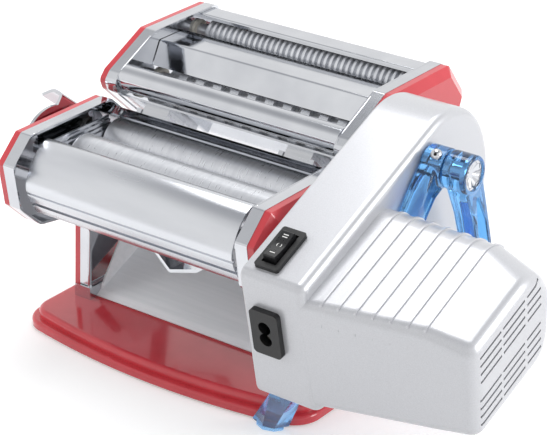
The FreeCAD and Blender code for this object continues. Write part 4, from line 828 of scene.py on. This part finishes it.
@dataclass
class SwitchMarks:
    """Printed marks of the three-way rocker: one stroke, a ring and two strokes."""

    centre: tuple[float, float, float] = (111.7, -96.71, 125.70)
    lean: float = 22.82
    top: float = 5.9
    dip: float = 1.2
    half: float = 9.4
    reach: float = 6.2
    stroke: tuple[float, float, float] = (3.2, 0.55, 0.25)
    stroke_round: float = 0.08
    pair_gap: float = 0.75
    ring: tuple[float, float] = (1.35, 0.28)
    ring_flat: float = 0.6

    def lay(self, piece: bpy.types.Object, along: float, tilt: float) -> None:
        """Lay a mark modelled at the origin onto the rocker's top.

        Args:
            piece: The mark.
            along: Its place along the rocker.
            tilt: The top's own slope there, in degrees.
        """
        height = self.top - self.dip * (1.0 - abs(along) / self.half)
        place = (Matrix.Translation(Vector(self.centre) * MM)
                 @ Matrix.Rotation(math.radians(self.lean), 4, "X")
                 @ Matrix.Translation(Vector((0.0, along, height)) * MM)
                 @ Matrix.Rotation(math.radians(tilt), 4, "X"))
        piece.data.transform(place)

    def stroke_at(self, name: str, shift: float, along: float, tilt: float) -> bpy.types.Object:
        """One printed stroke, its corners rounded.

        Args:
            name: The stroke's name.
            shift: How far it is off the mark's middle.
            along: The mark's place along the rocker.
            tilt: The top's own slope there, in degrees.

        Returns:
            The stroke.
        """
        bench = Bench()
        bpy.ops.mesh.primitive_cube_add(size=1.0)
        piece = bench.begin(name)
        piece.data.transform(Matrix.Diagonal((*(side * MM for side in self.stroke), 1.0)))
        bench.apply(piece, "BEVEL", width=self.stroke_round * MM, segments=2)
        piece.data.transform(Matrix.Translation((0.0, shift * MM, 0.0)))
        self.lay(piece, along, tilt)
        return bench.rest(piece)

    def build(self, rack: FinishRack) -> list[bpy.types.Object]:
        """Print the marks.

        Args:
            rack: Hands out the finishes.

        Returns:
            The pieces made.
        """
        slope = math.degrees(math.atan2(self.dip, self.half))
        bench = Bench()
        major, minor = self.ring
        bpy.ops.mesh.primitive_torus_add(major_radius=major * MM, minor_radius=minor * MM, major_segments=40,
                                         minor_segments=8)
        ring = bench.begin("mark_off_ring")
        ring.data.transform(Matrix.Diagonal((1.0, 1.0, self.ring_flat, 1.0)))
        self.lay(ring, 0.0, 0.0)
        bench.smooth(60.0)
        bench.rest(ring)
        pieces = [ring, self.stroke_at("mark_one", 0.0, -self.reach, -slope),
                  self.stroke_at("mark_two_a", -self.pair_gap, self.reach, slope),
                  self.stroke_at("mark_two_b", self.pair_gap, self.reach, slope)]
        for piece in pieces:
            rack.dress(piece, WHITE_INK)
            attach(piece, "rocker")
        return pieces


@dataclass
class HubFittings:
    """Star nut in the leg's recess and the ball-headed screw in the bracket."""

    axis: tuple[float, float] = HUB_AXIS
    nut_x: tuple[float, float] = (163.5, 166.6)
    nut_radius: float = 8.4
    nut_rim: float = 1.1
    nut_step: float = 0.5
    nut_dish: float = 1.5
    margin: float = 0.5
    hollow: float = 3.0
    teeth: int = 9
    tooth_wave: float = 0.1
    star_wave: float = 0.3
    star_reach: float = 4.0
    stem_x: float = 138.6
    stem_radius: float = 2.9
    ball: tuple[float, float, float] = (147.6, -7.4, 158.4)
    ball_radius: float = 3.4
    ball_open: float = 0.955
    socket_depth: float = 2.2
    socket_lean: tuple[float, float, float] = (0.45, -0.75, 0.0)
    cup: tuple[float, float] = (0.95, 1.6)
    cup_wall: float = 0.15
    cup_hollow: float = 1.2
    cup_sunk: float = 1.0

    def star_nut(self) -> bpy.types.Object:
        """Stamp the star nut: a toothed rim round a sunk cone, on its stem.

        Returns:
            The nut.
        """
        bench = Bench()
        x_from, x_to = self.nut_x
        bpy.ops.mesh.primitive_cylinder_add(
            vertices=4 * self.teeth, radius=self.nut_radius * MM, depth=(x_to - x_from) * MM,
            rotation=ALONG_X,
            location=((x_from + x_to) / 2.0 * MM, self.axis[0] * MM, self.axis[1] * MM))
        nut = bench.begin("star_nut")
        bench.pick(nut, Part.FACE, lambda co: co.x > (x_to - SKIN) * MM)
        bpy.ops.mesh.inset(thickness=self.nut_rim * MM)
        bench.extrude((-self.nut_step * MM, 0.0, 0.0))
        bpy.ops.mesh.inset(thickness=(self.nut_radius - self.nut_rim - self.hollow) * MM,
                           depth=-self.nut_dish * MM)
        bpy.ops.object.mode_set(mode="OBJECT")
        centre = Vector((0.0, self.axis[0], self.axis[1])) * MM
        for vertex in nut.data.vertices:
            spoke = Vector((0.0, vertex.co.y - centre.y, vertex.co.z - centre.z))
            wave = math.cos(math.atan2(spoke.z, spoke.y) * self.teeth)
            if self.star_reach * MM < spoke.length < (self.nut_radius - self.margin) * MM:
                vertex.co += spoke * (self.tooth_wave * wave)
            elif spoke.length <= self.star_reach * MM and vertex.co.x > (x_from + self.margin) * MM:
                vertex.co += spoke * (self.star_wave * wave)
        bench.pick(nut, Part.FACE, lambda co: co.x < (x_from + SKIN) * MM)
        bpy.ops.mesh.inset(thickness=(self.nut_radius - self.stem_radius) * MM)
        bench.extrude(((self.stem_x - x_from) * MM, 0.0, 0.0))
        bench.close()
        bench.smooth(20.0)
        return bench.rest(nut)

    def socket_axis(self) -> Vector:
        """Direction that the ball's socket opens to."""
        outward = Vector((0.0, self.ball[1] - self.axis[0], self.ball[2] - self.axis[1])).normalized()
        return (outward + Vector(self.socket_lean)).normalized()

    def place_on_ball(self, piece: bpy.types.Object, distance: float) -> None:
        """Turn a piece modelled upright to the socket's direction.

        Args:
            piece: The piece, modelled at the origin.
            distance: How far from the ball's centre it sits.
        """
        lean = self.socket_axis()
        seat = Vector(self.ball) * MM + lean * distance * MM
        piece.data.transform(Matrix.Translation(seat) @ lean.to_track_quat("Z", "Y").to_matrix().to_4x4())

    def ball_screw(self) -> bpy.types.Object:
        """Turn the head of the ball-headed screw and open its socket.

        Returns:
            The head.
        """
        bench = Bench()
        bpy.ops.mesh.primitive_uv_sphere_add(segments=36, ring_count=24, radius=self.ball_radius * MM)
        ball = bench.begin("ball_screw")
        bench.pick(ball, Part.FACE, lambda co: co.z > self.ball_open * self.ball_radius * MM)
        bpy.ops.mesh.delete(type="FACE")
        bpy.ops.mesh.select_all(action="DESELECT")
        bpy.ops.object.mode_set(mode="OBJECT")
        rim = max(v.co.z for v in ball.data.vertices)
        bench.pick(ball, Part.EDGE, lambda co: co.z > rim - HAIR)
        bench.extrude((0.0, 0.0, -self.socket_depth * MM))
        bpy.ops.mesh.edge_face_add()
        bench.close()
        bench.smooth(40.0)
        self.place_on_ball(ball, 0.0)
        return bench.rest(ball)

    def painted_shade_cup(self) -> bpy.types.Object:
        """Paint the shade of the ball's socket: a sunk hexagon cup in black stands in for the shadow on the
        socket's walls.

        Returns:
            The cup.
        """
        bench = Bench()
        radius, depth = self.cup
        bpy.ops.mesh.primitive_cylinder_add(vertices=6, radius=radius * MM, depth=depth * MM)
        cup = bench.begin("ball_screw_socket_painted_shade")
        bench.pick(cup, Part.FACE, lambda co: co.z > (depth / 2.0 - SKIN) * MM)
        bpy.ops.mesh.inset(thickness=self.cup_wall * MM)
        bench.extrude((0.0, 0.0, -self.cup_hollow * MM))
        bpy.ops.object.mode_set(mode="OBJECT")
        self.place_on_ball(cup, self.ball_radius - self.cup_sunk)
        return bench.rest(cup)

    def build(self, rack: FinishRack) -> list[bpy.types.Object]:
        """Make the screws of the hub.

        Args:
            rack: Hands out the finishes.

        Returns:
            The pieces made.
        """
        nut, ball, cup = self.star_nut(), self.ball_screw(), self.painted_shade_cup()
        # the cup's black finish is painted shade inside the chrome screw's socket
        for piece, finish in ((nut, CHROME_PLATE), (ball, CHROME_PLATE), (cup, BLACK_NYLON)):
            rack.dress(piece, finish)
            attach(piece, "motor_unit")
        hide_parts("hub_screws")
        return [nut, ball, cup]


def main() -> None:
    """Build the machine's look in order."""
    logging.basicConfig(level=logging.INFO, format="%(name)s: %(message)s")
    rack = FinishRack()
    Studio().build()
    rack.dress_frame()
    for assembly in (FrontCover(), PlateBeads(), HubArms(), SwitchMarks(), HubFittings()):
        for piece in assembly.build(rack):
            LOG.info("%s: %s", type(assembly).__name__, piece.name)


if __name__ == "__main__":
    main()
